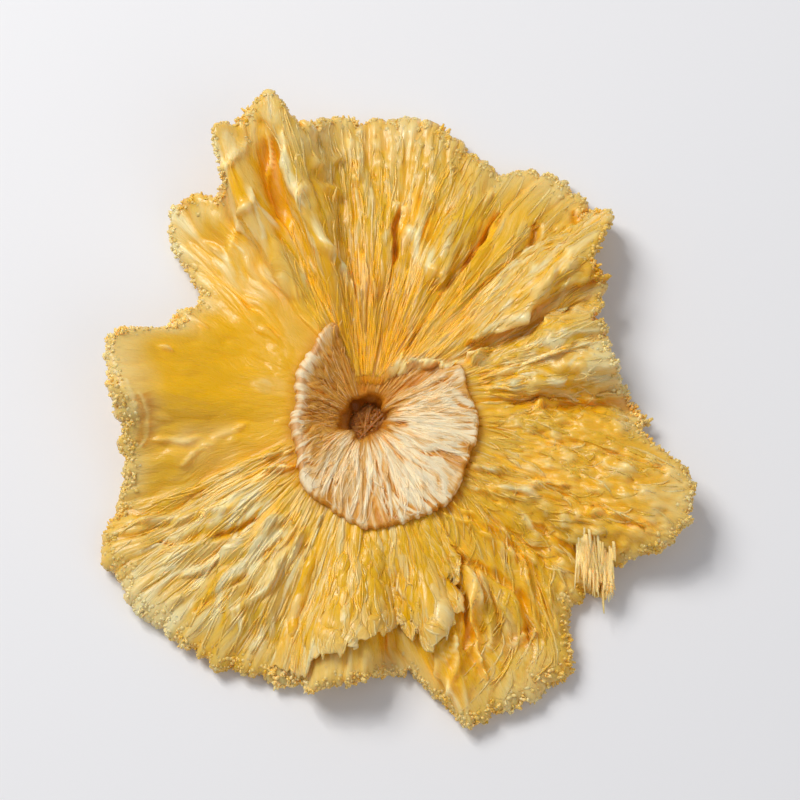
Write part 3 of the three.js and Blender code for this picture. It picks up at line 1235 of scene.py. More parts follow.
    pale: tuple = (
        Patch(232, 28, 0.55, 0.42, 0.85), Patch(122, 14, 0.50, 0.3, 0.85), Patch(164, 8, 0.14, 0.16, 0.5),
        Patch(178, 16, 0.95, 0.25, 0.5), Patch(24, 24, 0.6, 0.5, 0.45), Patch(306, 12, 0.55, 0.4, 0.55),
        Patch(338, 20, 0.6, 0.5, 0.22), Patch(82, 26, 0.75, 0.5, 0.15), Patch(200, 8, 0.5, 0.3, 0.5),
        Patch(130, 10, 0.9, 0.3, 0.5), Patch(108, 5, 0.75, 0.4, 0.4), Patch(297, 12, 0.85, 0.28, 0.75),
        Patch(192, 10, 0.56, 0.28, 0.75), Patch(36, 9, 0.5, 0.3, 0.45), Patch(222, 14, 0.9, 0.25, 0.4),
    )

    def __post_init__(self) -> None:
        """Draws the fibres and noises of the flesh, always in the same order."""
        rng = np.random.default_rng(461)
        self.fibres = np.concatenate([zone.draw(rng, self.reach) for zone in self.zones])
        self.pleat_noise = RingNoise(rng, 34, 3)
        self.drift_noise = RingNoise(rng, 26, 6)
        self.dent_noise = RingNoise(rng, 18, 4)
        self.cloud_noise = RingNoise(rng, 48, 9)
        self.thread_noise = RingNoise(rng, 410, 6)
        self.tooth_noise = [RingNoise(rng, count, 2) for count in (130, 380)]
        self.lumps = [Granules(rng, pitch) for pitch in (2.3, 1.1)]
        self.sway_noise = [RingNoise(rng, 150, 12) for _ in range(3)]

    def stations(self) -> tuple:
        """How each station of a section lies.

        Returns:
            Its share of the way out, and its turn from the top, 0, round to the underside, pi.
        """
        top = np.linspace(-self.tuck, 1.0, self.top_steps)
        nose = np.linspace(0.0, np.pi, self.rim_steps + 2)[1:-1]
        under = np.linspace(1.0, -self.tuck, self.under_steps)
        out = np.concatenate([top, np.ones(self.rim_steps), under])
        roll = np.concatenate([np.zeros(self.top_steps), nose, np.full(self.under_steps, np.pi)])
        return out, roll

    def drift(self, turn: np.ndarray, out: np.ndarray) -> np.ndarray:
        """How far fibres wander sideways on their way out, as a share of a full turn."""
        return (self.drift_noise.at(turn, out) - 0.5) * 0.010

    def thatch(self, out: np.ndarray) -> tuple:
        """The fibres laid over the flesh.

        Args:
            out: the stations' shares of the way out.

        Returns:
            The height and the tint of the fibres at each grid point.
        """
        angle = self.fibres[:, :1]
        radius = np.maximum(lerp(self.form.flesh_start(angle), self.form.rim_reach(angle), out[None]), 4.0)
        return Thatch(0.0, 360.0 / self.steps, self.steps, out).lay(self.fibres, radius)

    def hand_laid(self, x: np.ndarray, y: np.ndarray, turn: np.ndarray, out: np.ndarray) -> tuple:
        """The height, the lightness and the painted shade that all the ridges and creases give to each place.

        The places are swayed by noise first, so no ridge runs smooth.

        Args:
            x: places in plan, in millimetres from the hole's axis.
            y: the same.
            turn: how far round they are, as a share of a full turn.
            out: how far out they are, from 0 at the core to 1 at the rim.

        Returns:
            Three grids of numbers.
        """
        sway_x, sway_y, body = (noise.at(turn, out) - 0.5 for noise in self.sway_noise)
        x, y = x + self.sway * sway_x, y + self.sway * sway_y
        height, light, shade = np.zeros(x.shape), np.zeros(x.shape), np.zeros(x.shape)
        groups = (self.upper_left, self.top, self.upper_right, self.lower_right, self.lower_left, self.left)
        for ridge in (ridge for group in groups for ridge in group):
            share, below = ridge.share(x, y)
            height += ridge.height * share
            light += ridge.pale * share
            shade = np.maximum(shade, below * (1.0 - share))
        return height * (0.75 + 1.0 * body), np.clip(light * (0.9 + 1.6 * body), -1.0, 1.0), shade

    def build(self) -> Piece:
        """The closed skin: the large form, leaned and embossed, with the traits its finish reads.

        The relief is the fibres, plus pleats and packed lumps where their patches say, plus dents.

        Returns:
            The skin as one piece.
        """
        out, roll = self.stations()
        height, tint = self.thatch(out)
        angle = np.arange(self.steps)[:, None] * 360.0 / self.steps + np.zeros_like(out)
        shift = self.drift(angle / 360.0, out + np.zeros_like(angle)) * self.steps
        height, tint = swayed(height, shift), swayed(tint, shift)
        out, roll = out + np.zeros_like(angle), roll + np.zeros_like(angle)
        turn, form = angle / 360.0, self.form
        merged = form.merged(angle)
        teeth = sum(w * (n.at(turn, roll / np.pi) - 0.5) for w, n in zip((1.0, 0.8), self.tooth_noise))
        rim = form.rim_reach(angle) - form.rim_round
        ledge = merged * (1.0 - form.past_chord(angle))
        drop = lerp(*form.merged_drop, form.past_chord(angle)) * merged
        bottom = form.underside(angle, out) - drop * (1.0 - smooth(out, 0.0, 0.32))
        half = lerp(form.flesh_at_core, form.flesh_at_rim, np.clip(out, 0.0, 1.0)) / 2.0
        edge = smooth(out, 0.88, 1.0)
        inside = np.clip(-out / self.tuck, 0.0, 1.0) * lerp(*self.tucked, merged)
        radius = lerp(form.flesh_start(angle), rim, np.clip(out, 0.0, 1.0)) - inside
        radius = radius + np.sin(roll) * form.rim_round + (teeth * self.tooth + (height - 0.4) * 0.7) * edge
        level = bottom - 0.5 * inside * merged + half * (1.0 + np.cos(roll))
        spoke = np.radians(angle)
        x, y = radius * np.cos(spoke), radius * np.sin(spoke)
        lean = form.lean(angle, out)
        x, y = x - lean * np.sin(spoke), y + lean * np.cos(spoke)
        base = np.stack([x, y, level], axis=-1)
        fibrous = 0.12 + 0.88 * cover(self.fibrous, angle, out)
        lumpy = cover(self.lumpy, angle, out)
        flow = turn + self.drift(turn, out)
        threads = self.thread_noise.bundles(flow, out)
        pleats = self.pleat_noise.bundles(flow, out) * form.grow(out) * fibrous
        lumps = 0.65 * self.lumps[0].at(x, y) + 0.35 * self.lumps[1].at(x, y)
        dents = (self.dent_noise.at(turn, out) - 0.5) * form.grow(out)
        hand, light, shade = self.hand_laid(x, y, turn, out)
        hand = hand * lerp(0.60, 1.30, height)
        light = light * np.where(light > 0.0, lerp(0.55, 1.25, tint), 1.0)
        lit, unlit = np.clip(light, 0.0, 1.0), np.clip(light, -1.0, 0.0)
        relief = (height + 0.12 * threads * fibrous) * self.fibre_height * (1.0 - 0.6 * edge)
        relief = relief + pleats * self.pleat_height + lumps * lumpy * self.lump_height + dents * 0.8 + hand
        upper = smooth(0.5 + 0.5 * np.cos(roll), 0.0, 0.8)
        points = base + grid_normals(base) * (relief * (0.15 + 0.85 * upper))[..., None]
        points[..., 2] = np.maximum(points[..., 2], 0.0)
        normal = grid_normals(points)
        points[..., :2] += hole_axis()
        clouds = self.cloud_noise.at(turn, out)
        band = smooth(out, 0.80, 0.99)
        crest = smooth(height, 0.30, 0.85)
        creamy = smooth(tint, 0.45, 0.95) * crest
        pale = cover(self.pale, angle, out) * (0.10 + 0.75 * creamy + 0.40 * clouds)
        pale = pale + 0.42 * creamy * fibrous + band * (0.15 + 0.40 * clouds)
        pale = pale + lit * (0.25 + 0.55 * creamy + 0.35 * clouds)
        pale = pale + 0.9 * (lumps - 0.32) * lumpy - 0.30 * (1.0 - crest) * fibrous + unlit
        pale = pale + 0.8 * ledge * (1.0 - smooth(out, 0.02, 0.05))
        pale = np.clip(pale, 0.0, 1.0)
        dim = smooth(0.4 - tint, 0.0, 0.3)
        amber = cover(self.amber, angle, out) + 0.5 * (1.0 - crest) * fibrous + 0.6 * dim * fibrous
        amber = np.clip(amber - unlit - 0.4 * band - 0.6 * pale, 0.0, 1.0)
        # Painted shade, with the deeper orange of creases: valleys between fibres, the foot of steps, lump
        # borders, the flesh at the foot of the core's edge and next to the core are laid towards the crease
        # orange.
        crease_tone_and_shade = np.clip((0.25 - height) * 2.0, 0.0, 0.45) * fibrous - 0.3 * unlit + 0.75 * shade
        crease_tone_and_shade = crease_tone_and_shade + 0.5 * (0.35 - lumps) * lumpy + 0.5 * smooth(0.06 - out, 0.0, 0.08)
        crease_tone_and_shade = crease_tone_and_shade - 0.8 * ledge * (1.0 - smooth(out, 0.02, 0.05))
        crease_tone_and_shade = crease_tone_and_shade + merged * 0.95 * (1.0 - smooth(out, 0.05, 0.70)) * (1.0 - 0.7 * ledge)
        crease_tone_and_shade = np.clip(crease_tone_and_shade - 0.5 * lit, 0.0, 1.0)
        along = flow * 2 * np.pi
        grain = np.stack([np.cos(along) * 30.0, np.sin(along) * 30.0, out * 3.0], axis=-1)
        traits = {"pale": pale, "amber": amber, "crease_tone_and_shade": crease_tone_and_shade, "fibrous": fibrous, "grain": grain}
        self.skin = Skin(points, normal, traits)
        return skin_piece("ruffled_flesh", points, traits)

    def station_at(self, out: np.ndarray) -> np.ndarray:
        """The station on top that lies that share of the way out."""
        return (out + self.tuck) / (1.0 + self.tuck) * (self.top_steps - 1)


@dataclass
class Core:
    """The core: a bowl of fibre bundles round the hole, with a scalloped edge over the flesh."""

    form: SliceForm
    steps: int = 960
    wall_steps: int = 16
    funnel_steps: int = 52
    edge_steps: int = 12
    under_steps: int = 12
    throat_radius: float = 2.70
    throat_neck: float = 2.20
    throat_foot: float = 3.20
    shoulder: float = 0.55
    lip_shoulder: Hill = Hill(175, 0.75, 80, 30)
    overhang: float = 0.6
    foot_inset: float = 1.3
    bundle_height: float = 0.40
    scallop: float = 0.24
    reach: float = 9.0
    # Makes the upper-left side of the bowl steeper, and lays painted shade on that slope.
    steep_side: Hill = Hill(135, 0.65, 100, 35)
    # The cream side lies towards the key lamp: its pale is the fibres' cream and painted light.
    cream_and_lit: tuple = (Hill(322, 1.0, 58, 24), Hill(255, 0.60, 46, 14), Hill(12, 0.35, 40, 8))
    marks: tuple = (
        Ridge(((13.4, 98.0), (11.6, 98.0)), 0.9, 0.9, 0.6, 0.5),
        Ridge(((5.3, 341.0), (3.9, 341.0)), 0.7, 0.7, -0.5, -1.0),
    )
    zones: tuple = (
        Zone(0, 360, 0.55, 1.05, 240, (0.45, 0.95), (2.0, 6.0), (0.0, 1.0), (0.3, 1.0), (-8, 8)),
        Zone(0, 360, 0.05, 0.55, 170, (0.35, 0.75), (2.0, 6.0), (0.0, 1.0), (0.3, 1.0), (-10, 10)),
        Zone(200, 390, 0.30, 0.80, 80, (0.60, 1.10), (4.0, 9.0), (0.3, 1.0), (0.8, 1.3), (-10, 10)),
    )

    def __post_init__(self) -> None:
        """Draws the fibres and noises of the core, always in the same order."""
        rng = np.random.default_rng(1846)
        self.fibres = np.concatenate([zone.draw(rng, self.reach) for zone in self.zones])
        self.star_noise = RingNoise(rng, 14, 3)
        self.thread_noise = RingNoise(rng, 300, 5)
        self.cloud_noise = RingNoise(rng, 24, 4)
        self.drift_noise = RingNoise(rng, 30, 4)

    def profile(self, angle: np.ndarray) -> tuple:
        """The section at each angle.

        Up the throat wall through its narrow neck, out over the bowl as a power curve, over a round
        shoulder down the edge as a quarter circle, and back underneath.

        Args:
            angle: places round the ring, in degrees, one to a row.

        Returns:
            The radius and the height at each station, and its share of the way out over the bowl.
        """
        form = self.form
        core = form.core_reach(angle)
        ridge = form.ridge(angle)
        lip = np.minimum(form.lip_height, ridge - form.lip_below_ridge)
        rise = np.linspace(0.0, 1.0, self.wall_steps)[None]
        star = (self.star_noise.at(angle / 360.0, rise) - 0.5) * 1.7 * smooth(rise, 0.0, 0.3)
        throat = lerp(self.throat_neck, self.throat_radius, smooth(rise, 0.4, 1.0))
        wall_r = lerp(self.throat_foot, throat, smooth(rise, 0.0, 0.35)) + star
        wall_z = lerp(0.0, lip - 0.35, rise)
        t = np.linspace(0.0, 1.0, self.funnel_steps)[None]
        shoulder = self.shoulder + self.lip_shoulder.rise(angle)
        funnel_r = lerp(wall_r[:, -1:] + 0.25, core - shoulder, t)
        funnel_z = lerp(lip, ridge, t ** (0.55 + self.steep_side.rise(angle)))
        low = form.join_height + 0.9 + 0 * angle
        s = np.linspace(0.0, 1.0, self.edge_steps + 1)[None, 1:] * np.pi / 2.0
        edge_r = core - shoulder + shoulder * np.sin(s) ** 0.7 - self.overhang * (1.0 - np.cos(s)) ** 2
        edge_z = lerp(low, ridge, np.cos(s) ** 0.7)
        b = np.linspace(0.0, 1.0, self.under_steps)[None]
        under_r = lerp(core - self.foot_inset, self.throat_foot + 0.5, b)
        radius = np.concatenate([wall_r, funnel_r, edge_r, under_r], axis=1)
        height = np.concatenate([wall_z, funnel_z, edge_z, 0.0 * under_r], axis=1)
        past = 1.0 + np.arange(1, self.edge_steps + 1) / self.funnel_steps
        span = [np.linspace(-0.25, -0.02, self.wall_steps), t[0], past, np.full(self.under_steps, 2.0)]
        return radius, height, np.concatenate(span)

    def station_at(self, out: np.ndarray) -> np.ndarray:
        """The station that lies that share of the way out over the bowl; past 1 it goes down the edge."""
        return self.wall_steps + out * (self.funnel_steps - 1)

    def build(self) -> Piece:
        """The closed skin of the core, embossed with its fibres, with the traits its finish reads.

        Returns:
            The skin as one piece.
        """
        angle = np.arange(self.steps)[:, None] * 360.0 / self.steps
        radius, height, out = self.profile(angle)
        spot = self.fibres[:, :1]
        spokes = np.maximum(lerp(self.throat_radius, self.form.core_reach(spot), out[None]), 2.0)
        fibre, tint = Thatch(0.0, 360.0 / self.steps, self.steps, out).lay(self.fibres, spokes)
        out = out + np.zeros_like(radius)
        angle = angle + np.zeros_like(radius)
        turn = angle / 360.0
        shift = (self.drift_noise.at(turn, out) - 0.5) * 0.030 * self.steps
        fibre, tint = swayed(fibre, shift), swayed(tint, shift)
        fibre = fibre + 0.15 * self.thread_noise.bundles(turn, out)
        last = self.wall_steps + self.funnel_steps + self.edge_steps
        station = np.arange(radius.shape[1])[None] + np.zeros_like(radius)
        on_edge = smooth(station, last - self.edge_steps - 12, last - self.edge_steps) * (station < last)
        rim_fibre = fibre[:, last - self.edge_steps - 2][:, None]
        radius = radius + on_edge * (rim_fibre - 0.45) * self.scallop
        spoke = np.radians(angle)
        base = np.stack([radius * np.cos(spoke), radius * np.sin(spoke), height], axis=-1)
        over = (station >= self.wall_steps - 2) & (station < last)
        fibre = np.where(station >= last - self.edge_steps, lerp(fibre, rim_fibre, 0.5), fibre)
        marked, lit = np.zeros_like(radius), np.zeros_like(radius)
        for mark in self.marks:
            share, _ = mark.share(base[..., 0], base[..., 1])
            marked += mark.height * share
            lit += mark.pale * share
        emboss = (fibre - 0.35) * self.bundle_height * over * lerp(0.6, 1.0, smooth(out, 0.0, 0.3))
        emboss = emboss * (1.0 - 0.75 * on_edge) + marked * over
        points = base + grid_normals(base) * emboss[..., None]
        points[..., 2] = np.maximum(points[..., 2], 0.0)
        normal = grid_normals(points)
        points[..., :2] += hole_axis()
        crest = smooth(fibre, 0.25, 0.85)
        # Cream of the bundles, with painted light on the side towards the key lamp.
        cream_and_lit = total(self.cream_and_lit, angle) * (0.6 + 0.8 * self.cloud_noise.at(turn, out))
        streaks = 0.25 + 0.75 * smooth(tint, 0.25, 0.70)
        pale = cream_and_lit * (0.02 + 1.05 * crest * streaks) * smooth(out, -0.1, 0.25)
        lip = self.lip_shoulder.rise(angle) / self.lip_shoulder.height * smooth(out, 0.78, 0.92)
        # Painted highlight: a thin pale line along the outer edge of the lip.
        line = self.lip_shoulder.rise(angle) * smooth(out, 0.90, 0.99) * (1.0 - smooth(out, 1.03, 1.12))
        pale = pale + (0.15 + 0.5 * tint) * lip + 0.30 * smooth(out, 0.85, 1.0) * crest + 0.5 * line
        pale = np.clip(pale, 0.0, 1.0)
        # Painted shade: the upper-left inner slope faces away from the key lamp and is laid darker orange.
        shaded_steep = self.steep_side.rise(angle) / self.steep_side.height * (1.0 - smooth(out, 0.60, 0.85))
        # Painted shade with the orange between bundles: gaps between bundles, the bowl towards the throat,
        # the shaded slope and where the flesh covers the core go towards the crease orange.
        crease_tone_and_shade = np.clip((0.56 - fibre) * 1.8, 0.0, 0.85) + 0.6 * (1.0 - smooth(out, -0.05, 0.25))
        crease_tone_and_shade = crease_tone_and_shade + (0.30 + 0.4 * (1.0 - tint)) * shaded_steep + 0.5 * self.form.merged(angle)
        crease_tone_and_shade = np.clip(crease_tone_and_shade - 0.25 * lip - lit, 0.0, 1.0)
        pale = np.clip(pale + lit, 0.0, 1.0)
        # Painted shade: darker brown towards the bottom of the throat.
        hole_shade = 1.0 - smooth(station, self.wall_steps - 6, self.wall_steps + 2)
        grain = np.stack([np.cos(spoke) * 18.0, np.sin(spoke) * 18.0, out * 2.5], axis=-1)
        traits = {"pale": pale, "crease_tone_and_shade": crease_tone_and_shade, "hole_shade": hole_shade, "grain": grain}
        self.skin = Skin(points, normal, traits)
        return skin_piece("firm_core", points, traits)


def sheet_piece(name: str, upper: np.ndarray, lower: np.ndarray, traits: dict) -> Piece:
    """A thin closed sheet between two grids of points that lie over each other.

    The upper grid faces out, the lower one is turned over, and a strip of quads joins their borders.

    Args:
        name: the piece's name.
        upper: the points of the shown side, going round and then outwards.
        lower: the points of the hidden side, in the same order.
        traits: named numbers for each point of the grid, used on both sides.

    Returns:
        The closed sheet.
    """
    n, m = upper.shape[:2]
    top = np.arange(n * m).reshape(n, m)
    cells = np.stack([top[:-1, :-1], top[:-1, 1:], top[1:, 1:], top[1:, :-1]], axis=-1).reshape(-1, 4)
    border = np.concatenate([top[:-1, 0], top[-1, :-1], top[:0:-1, -1], top[0, :0:-1]])
    ahead = np.roll(border, -1)
    strip = np.stack([border, ahead, ahead + n * m, border + n * m], axis=-1)
    points = np.concatenate([upper.reshape(-1, 3), lower.reshape(-1, 3)])
    both = {key: np.concatenate([value, value]) for key, value in listed(traits).items()}
    return Piece(name, points, [np.concatenate([cells, cells[:, ::-1] + n * m, strip])], both)


@dataclass
class LaidFibres:
    """Single fibres half sunk in a skin, each a thin tapered rod laid along it."""

    name: str
    skin: Skin
    station_of: Callable
    reach: float
    zones: tuple
    seed: int
    links: int = 7
    sides: int = 5
    sunk: float = 0.45
    loose: float = 0.30

    def build(self) -> Piece:
        """Draws every zone's rods and lays them on the skin.

        A rod runs outwards and turns by its bend as t squared. Its radius is its half width times the
        root of a half sine. Its middle lies below the skin by its sunk share of that radius, and a few
        tips stand off by the cube of t.

        Returns:
            All the rods as one piece.
        """
        rng = np.random.default_rng(self.seed)
        rows = np.concatenate([zone.draw(rng, self.reach) for zone in self.zones])
        angle, start, end, half, high, tint, bend = (rows[:, k, None] for k in range(7))
        t = np.linspace(0.0, 1.0, self.links)[None]
        turn = (angle + bend * t * t) / 360.0
        station = self.station_of(np.clip(lerp(start, end, t), 0.0, 0.995))
        point, normal = self.skin.at(turn, station)
        radius = half * np.sqrt(np.sin(np.pi * (0.03 + 0.94 * t)))
        lift = self.loose * rng.random((len(rows), 1)) ** 6 * t**3 - radius * self.sunk
        own = self.skin.traits_at(turn, station)
        own["pale"] = np.clip(own["pale"] + 0.9 * (tint - 0.45) * high, 0.0, 1.0)
        own["crease_tone_and_shade"] = np.clip(own["crease_tone_and_shade"] * 0.4, 0.0, 1.0)
        return strand_piece(self.name, point + normal * lift[..., None], radius, self.sides, own)


@dataclass
class RimFrill:
    """Short teeth that stand out of the rim, where the fibres of the flesh end."""

    flesh: Flesh
    count: int = 3200
    links: int = 4
    sides: int = 5
    long: tuple = (0.3, 1.0)
    wide: tuple = (0.13, 0.30)
    tilt: float = 0.35

    def build(self) -> Piece:
        """Rods from inside the rim along its normal, tilted at random, each drawn out to a blunt tip.

        Returns:
            All the teeth as one piece.
        """
        rng = np.random.default_rng(8974)
        flesh, n = self.flesh, self.count
        turn = rng.random((n, 1))
        station = flesh.top_steps - 1 + rng.uniform(0.0, flesh.rim_steps - 0.5, (n, 1))
        point, normal = flesh.skin.at(turn, station)
        clump = RingNoise(rng, 90, 1).at(turn, 0 * turn)
        t = np.linspace(0.0, 1.0, self.links)[None]
        length = rng.uniform(*self.long, (n, 1)) * (0.3 + 1.1 * clump**2)
        way = normal + rng.normal(0.0, self.tilt, (n, 1, 3))
        way /= np.linalg.norm(way, axis=-1, keepdims=True)
        paths = point + way * ((t - 0.35) * length)[..., None]
        radius = rng.uniform(*self.wide, (n, 1)) * (1.0 - 0.45 * t**2)
        paths[..., 2] = np.maximum(paths[..., 2], radius + 0.02)
        rooted = flesh.skin.traits_at(turn, station)
        own = {key: np.repeat(value, self.links, axis=1) for key, value in rooted.items()}
        own["pale"] = np.clip(own["pale"] + rng.uniform(-0.15, 0.45, (n, 1)), 0.0, 1.0)
        own["crease_tone_and_shade"] = own["crease_tone_and_shade"] * 0.3
        return strand_piece("rim_frill", paths, radius, self.sides, own)


@dataclass
class HoleShadeFringe:
    """Fibres low in the hole, laid in brown as painted shade to darken it: some end short, and some cross it.
    """

    core: Core
    count: int = 300
    links: int = 7
    sides: int = 5
    low: float = 0.30
    high: float = 0.8
    wide: tuple = (0.20, 0.40)
    torn: float = 0.55
    torn_length: tuple = (0.25, 0.6)
    bowed: float = 0.35
    clearance: float = 0.05

    def build(self) -> Piece:
        """Rods from the wall to another place on it, or part of the way, each bowed to one side.

        A rod is its chord times the share of it that is there, plus its bow times the sine of the way.

        Returns:
            All the rods as one piece.
        """
        rng = np.random.default_rng(5413)
        n = self.count
        first = rng.uniform(0.0, 2.0 * math.pi, (n, 1))
        second = first + rng.uniform(1.2, 5.1, (n, 1))
        share = np.where(rng.random((n, 1)) < self.torn, rng.uniform(*self.torn_length, (n, 1)), 1.0)
        t = np.linspace(0.0, 1.0, self.links)[None]
        begin = np.stack([np.cos(first), np.sin(first)], axis=-1) * self.core.throat_foot
        finish = np.stack([np.cos(second), np.sin(second)], axis=-1) * self.core.throat_foot
        flat = lerp(begin, finish, (share * t)[..., None])
        bow = rng.normal(0.0, self.bowed, (n, 1)) * np.sin(np.pi * t)
        across = np.stack([-(finish - begin)[..., 1], (finish - begin)[..., 0]], axis=-1)
        across /= np.linalg.norm(across, axis=-1, keepdims=True)
        flat = flat + across * bow[..., None] + hole_axis()
        level = rng.uniform(self.low, self.high, (n, 1))
        level = level - rng.uniform(0.0, 0.25, (n, 1)) * np.sin(np.pi * t)
        thick = rng.uniform(*self.wide, (n, 1)) * (1.0 - 0.3 * t)
        paths = np.concatenate([flat, np.maximum(level, thick + self.clearance)[..., None]], axis=-1)
        none = np.zeros((n, self.links))
        # The fringe takes nearly all of the painted hole shade brown.
        hole_shade = none + rng.uniform(0.8, 1.0, (n, 1))
        own = {"pale": none, "crease_tone_and_shade": none, "hole_shade": hole_shade, "grain": paths * 2.0}
        return strand_piece("hole_shade_fringe", paths, thick, self.sides, own)


@dataclass
class RimBeads:
    """Small grains along the rim, where the flesh dried to a crumbly edge."""

    flesh: Flesh
    count: int = 800
    small: float = 0.12
    large: float = 0.36
    sunk: float = 0.75
    clearance: float = 1.8

    def build(self) -> Piece:
        """Beads half sunk near the rim's nose, each turned and stretched its own way.

        Returns:
            All the beads as one piece.
        """
        rng = np.random.default_rng(8973)
        flesh = self.flesh
        turn = rng.random(self.count)
        station = flesh.top_steps - 1 + rng.normal(0.5, 1.8, self.count)
        point, normal = flesh.skin.at(turn, station)
        size = rng.uniform(self.small, self.large, self.count) * rng.uniform(0.6, 1.0, self.count)
        frame_of = np.linalg.qr(rng.normal(size=(self.count, 3, 3)))[0]
        axes = frame_of * (size[:, None] * rng.uniform(0.6, 1.8, (self.count, 3)))[..., None]
        centres = point - normal * (size * self.sunk)[:, None]
        centres[:, 2] = np.maximum(centres[:, 2], size * self.clearance)
        own = flesh.skin.traits_at(turn, station)
        own["pale"] = np.clip(own["pale"] + rng.uniform(-0.05, 0.45, self.count), 0.0, 1.0)
        own["crease_tone_and_shade"] = own["crease_tone_and_shade"] * 0.2
        return bead_piece("rim_beads", centres, axes, own)


@dataclass
class TornTab:
    """A small tab of pale flesh whose straight strands tore off and hang over the rim."""

    flesh: Flesh
    count: int = 200
    links: int = 8
    sides: int = 5
    first: tuple = (25.0, -14.2)
    last: tuple = (28.9, -16.8)
    long: tuple = (3.9, 6.5)
    wide: tuple = (0.09, 0.19)
    way: tuple = (0.04, -1.0)
    spread: float = 0.075
    jitter: float = 0.55
    tucked: float = 1.8

    def build(self) -> Piece:
        """Rods side by side from one line, all the same way, just above the skin wherever it reaches.

        Their first third is tucked under the skin, and the rest lies level as far as the skin lets it.

        Returns:
            All the strands as one piece.
        """
        rng = np.random.default_rng(324)
        n, form = self.count, self.flesh.form
        t = np.linspace(0.0, 1.0, self.links)[None]
        across = rng.random((n, 1))
        begin = lerp(np.array(self.first), np.array(self.last), across[..., None])
        begin = begin + rng.normal(0.0, self.jitter, (n, 1, 1)) * np.array((0.2, 1.0))
        step = np.array(self.way) + rng.normal(0.0, self.spread, (n, 1, 2))
        length = rng.uniform(*self.long, (n, 1)) * (0.85 + 0.15 * np.sin(across * 17.0))
        flat = begin + step * (length * t)[..., None]
        angle = np.degrees(np.arctan2(flat[..., 1], flat[..., 0]))
        radius = np.hypot(flat[..., 0], flat[..., 1])
        start = form.flesh_start(angle)
        out = np.clip((radius - start) / (form.rim_reach(angle) - form.rim_round - start), 0.0, 0.97)
        point, _ = self.flesh.skin.at(angle / 360.0, self.flesh.station_at(out))
        level = point[..., 2] + rng.uniform(0.1, 0.9, (n, 1)) * (0.4 + 0.6 * t)
        level = level.mean(axis=1, keepdims=True) * 0.5 + level * 0.5
        level = level - self.tucked * (1.0 - smooth(t, 0.0, 0.30))
        paths = np.concatenate([flat + hole_axis(), level[..., None]], axis=-1)
        thick = rng.uniform(*self.wide, (n, 1)) * np.sqrt(np.sin(np.pi * (0.10 + 0.84 * t)))
        own = self.flesh.skin.traits_at(angle / 360.0, self.flesh.station_at(out))
        own["pale"] = np.clip(rng.uniform(0.55, 1.3, (n, 1)) + 0 * t, 0.0, 1.0)
        own["amber"], own["crease_tone_and_shade"] = 0 * own["pale"], 0 * own["pale"]
        return strand_piece("torn_tab", paths, thick, self.sides, own)


@dataclass
class LaidSheet:
    """A layer of flesh that tore loose and lies over the skin, frayed at its outer end.

    ends holds (share across, share outwards) pairs for where it stops, and along the fibres on it.
    """

    name: str
    flesh: Flesh
    start: float
    end: float
    near: float
    ends: tuple
    zones: tuple
    seed: int
    around: int = 320
    outwards: int = 110
    thick: float = 0.9
    stand: float = 1.1
    amber: float = 1.0
    fray: float = 0.09
    reach: float = 13.0
    radii: tuple = (13.5, 28.0)

    def build(self) -> Piece:
        """A fan laid on the skin, standing further off it towards its frayed end.

        Its underside is the skin's point plus its stand times t to a power, and its upper side that plus
        its thickness, which its fibres emboss and which runs out to nothing at its borders.

        Returns:
            The layer as one closed sheet.
        """
        rng = np.random.default_rng(self.seed)
        fibres = np.concatenate([zone.draw(rng, self.reach) for zone in self.zones])
        fine, coarse = RingNoise(rng, 700, 1), RingNoise(rng, 150, 1)
        across = np.linspace(0.0, 1.0, self.around)[:, None]
        t = np.linspace(0.0, 1.0, self.outwards)[None]
        width = self.end - self.start
        turn = (self.start + width * across) / 360.0
        radius = lerp(*self.radii, t) + np.zeros_like(fibres[:, :1])
        height, tint = Thatch(self.start, width / (self.around - 1), self.around, t[0]).lay(fibres, radius)
        places, stops = np.array(self.ends).T
        end = np.interp(across, places, stops)
        end = end + (fine.at(turn, 0 * turn) - 0.5) * self.fray
        end = end + (coarse.at(turn, 0 * turn) - 0.5) * self.fray * 1.6
        out = lerp(self.near, np.minimum(end, 1.0), t)
        turn = turn + 0 * out
        point, normal = self.flesh.skin.at(turn, self.flesh.station_at(out))
        rounded = np.sin(np.pi * np.clip(across, 0.003, 0.997)) ** 0.35
        rounded = rounded * smooth(end - self.near, 0.0, 0.15)
        lower = point + normal * (self.stand * t**1.6 * rounded - 0.2)[..., None]
        body = self.thick * (0.25 + 0.75 * height) * rounded * np.sqrt(1.0 - 0.85 * t**5) + 0.05
        upper = lower + normal * body[..., None]
        crest = smooth(height, 0.15, 0.65)
        tip = t**8
        tip_pale = 0.5 * tip * smooth(end - self.near, 0.25, 0.55)
        pale = 0.45 * smooth(tint, 0.60, 1.0) * crest + tip_pale - 0.25 * (1.0 - crest)
        pale = np.clip(pale + 0 * out, 0.0, 1.0)
        # Painted shade, with the deeper orange of creases: valleys between the flap's fibres.
        crease_tone_and_shade = np.clip((0.34 - height) * 2.4 + 0.18 * (1.0 - tint), 0.0, 0.75) * (1.0 - tip)
        amber = np.clip(self.amber + 0.3 * (0.5 - tint) - 0.6 * pale, 0.0, 1.0)
        spoke = turn * 2.0 * np.pi
        grain = np.stack([np.cos(spoke) * 30.0, np.sin(spoke) * 30.0, out * 3.0], axis=-1)
        fibrous = np.ones_like(out)
        traits = {"pale": pale, "amber": amber, "crease_tone_and_shade": crease_tone_and_shade, "fibrous": fibrous, "grain": grain}
        self.skin = Skin(upper, normal, traits)
        return sheet_piece(self.name, upper, lower, traits)

    def station_at(self, out: np.ndarray) -> np.ndarray:
        """The station on its upper side that lies that share of the way out."""
        return out * (self.outwards - 1)


# ---------------------------------------------------------------------------------------------------
# The studio
# ---------------------------------------------------------------------------------------------------


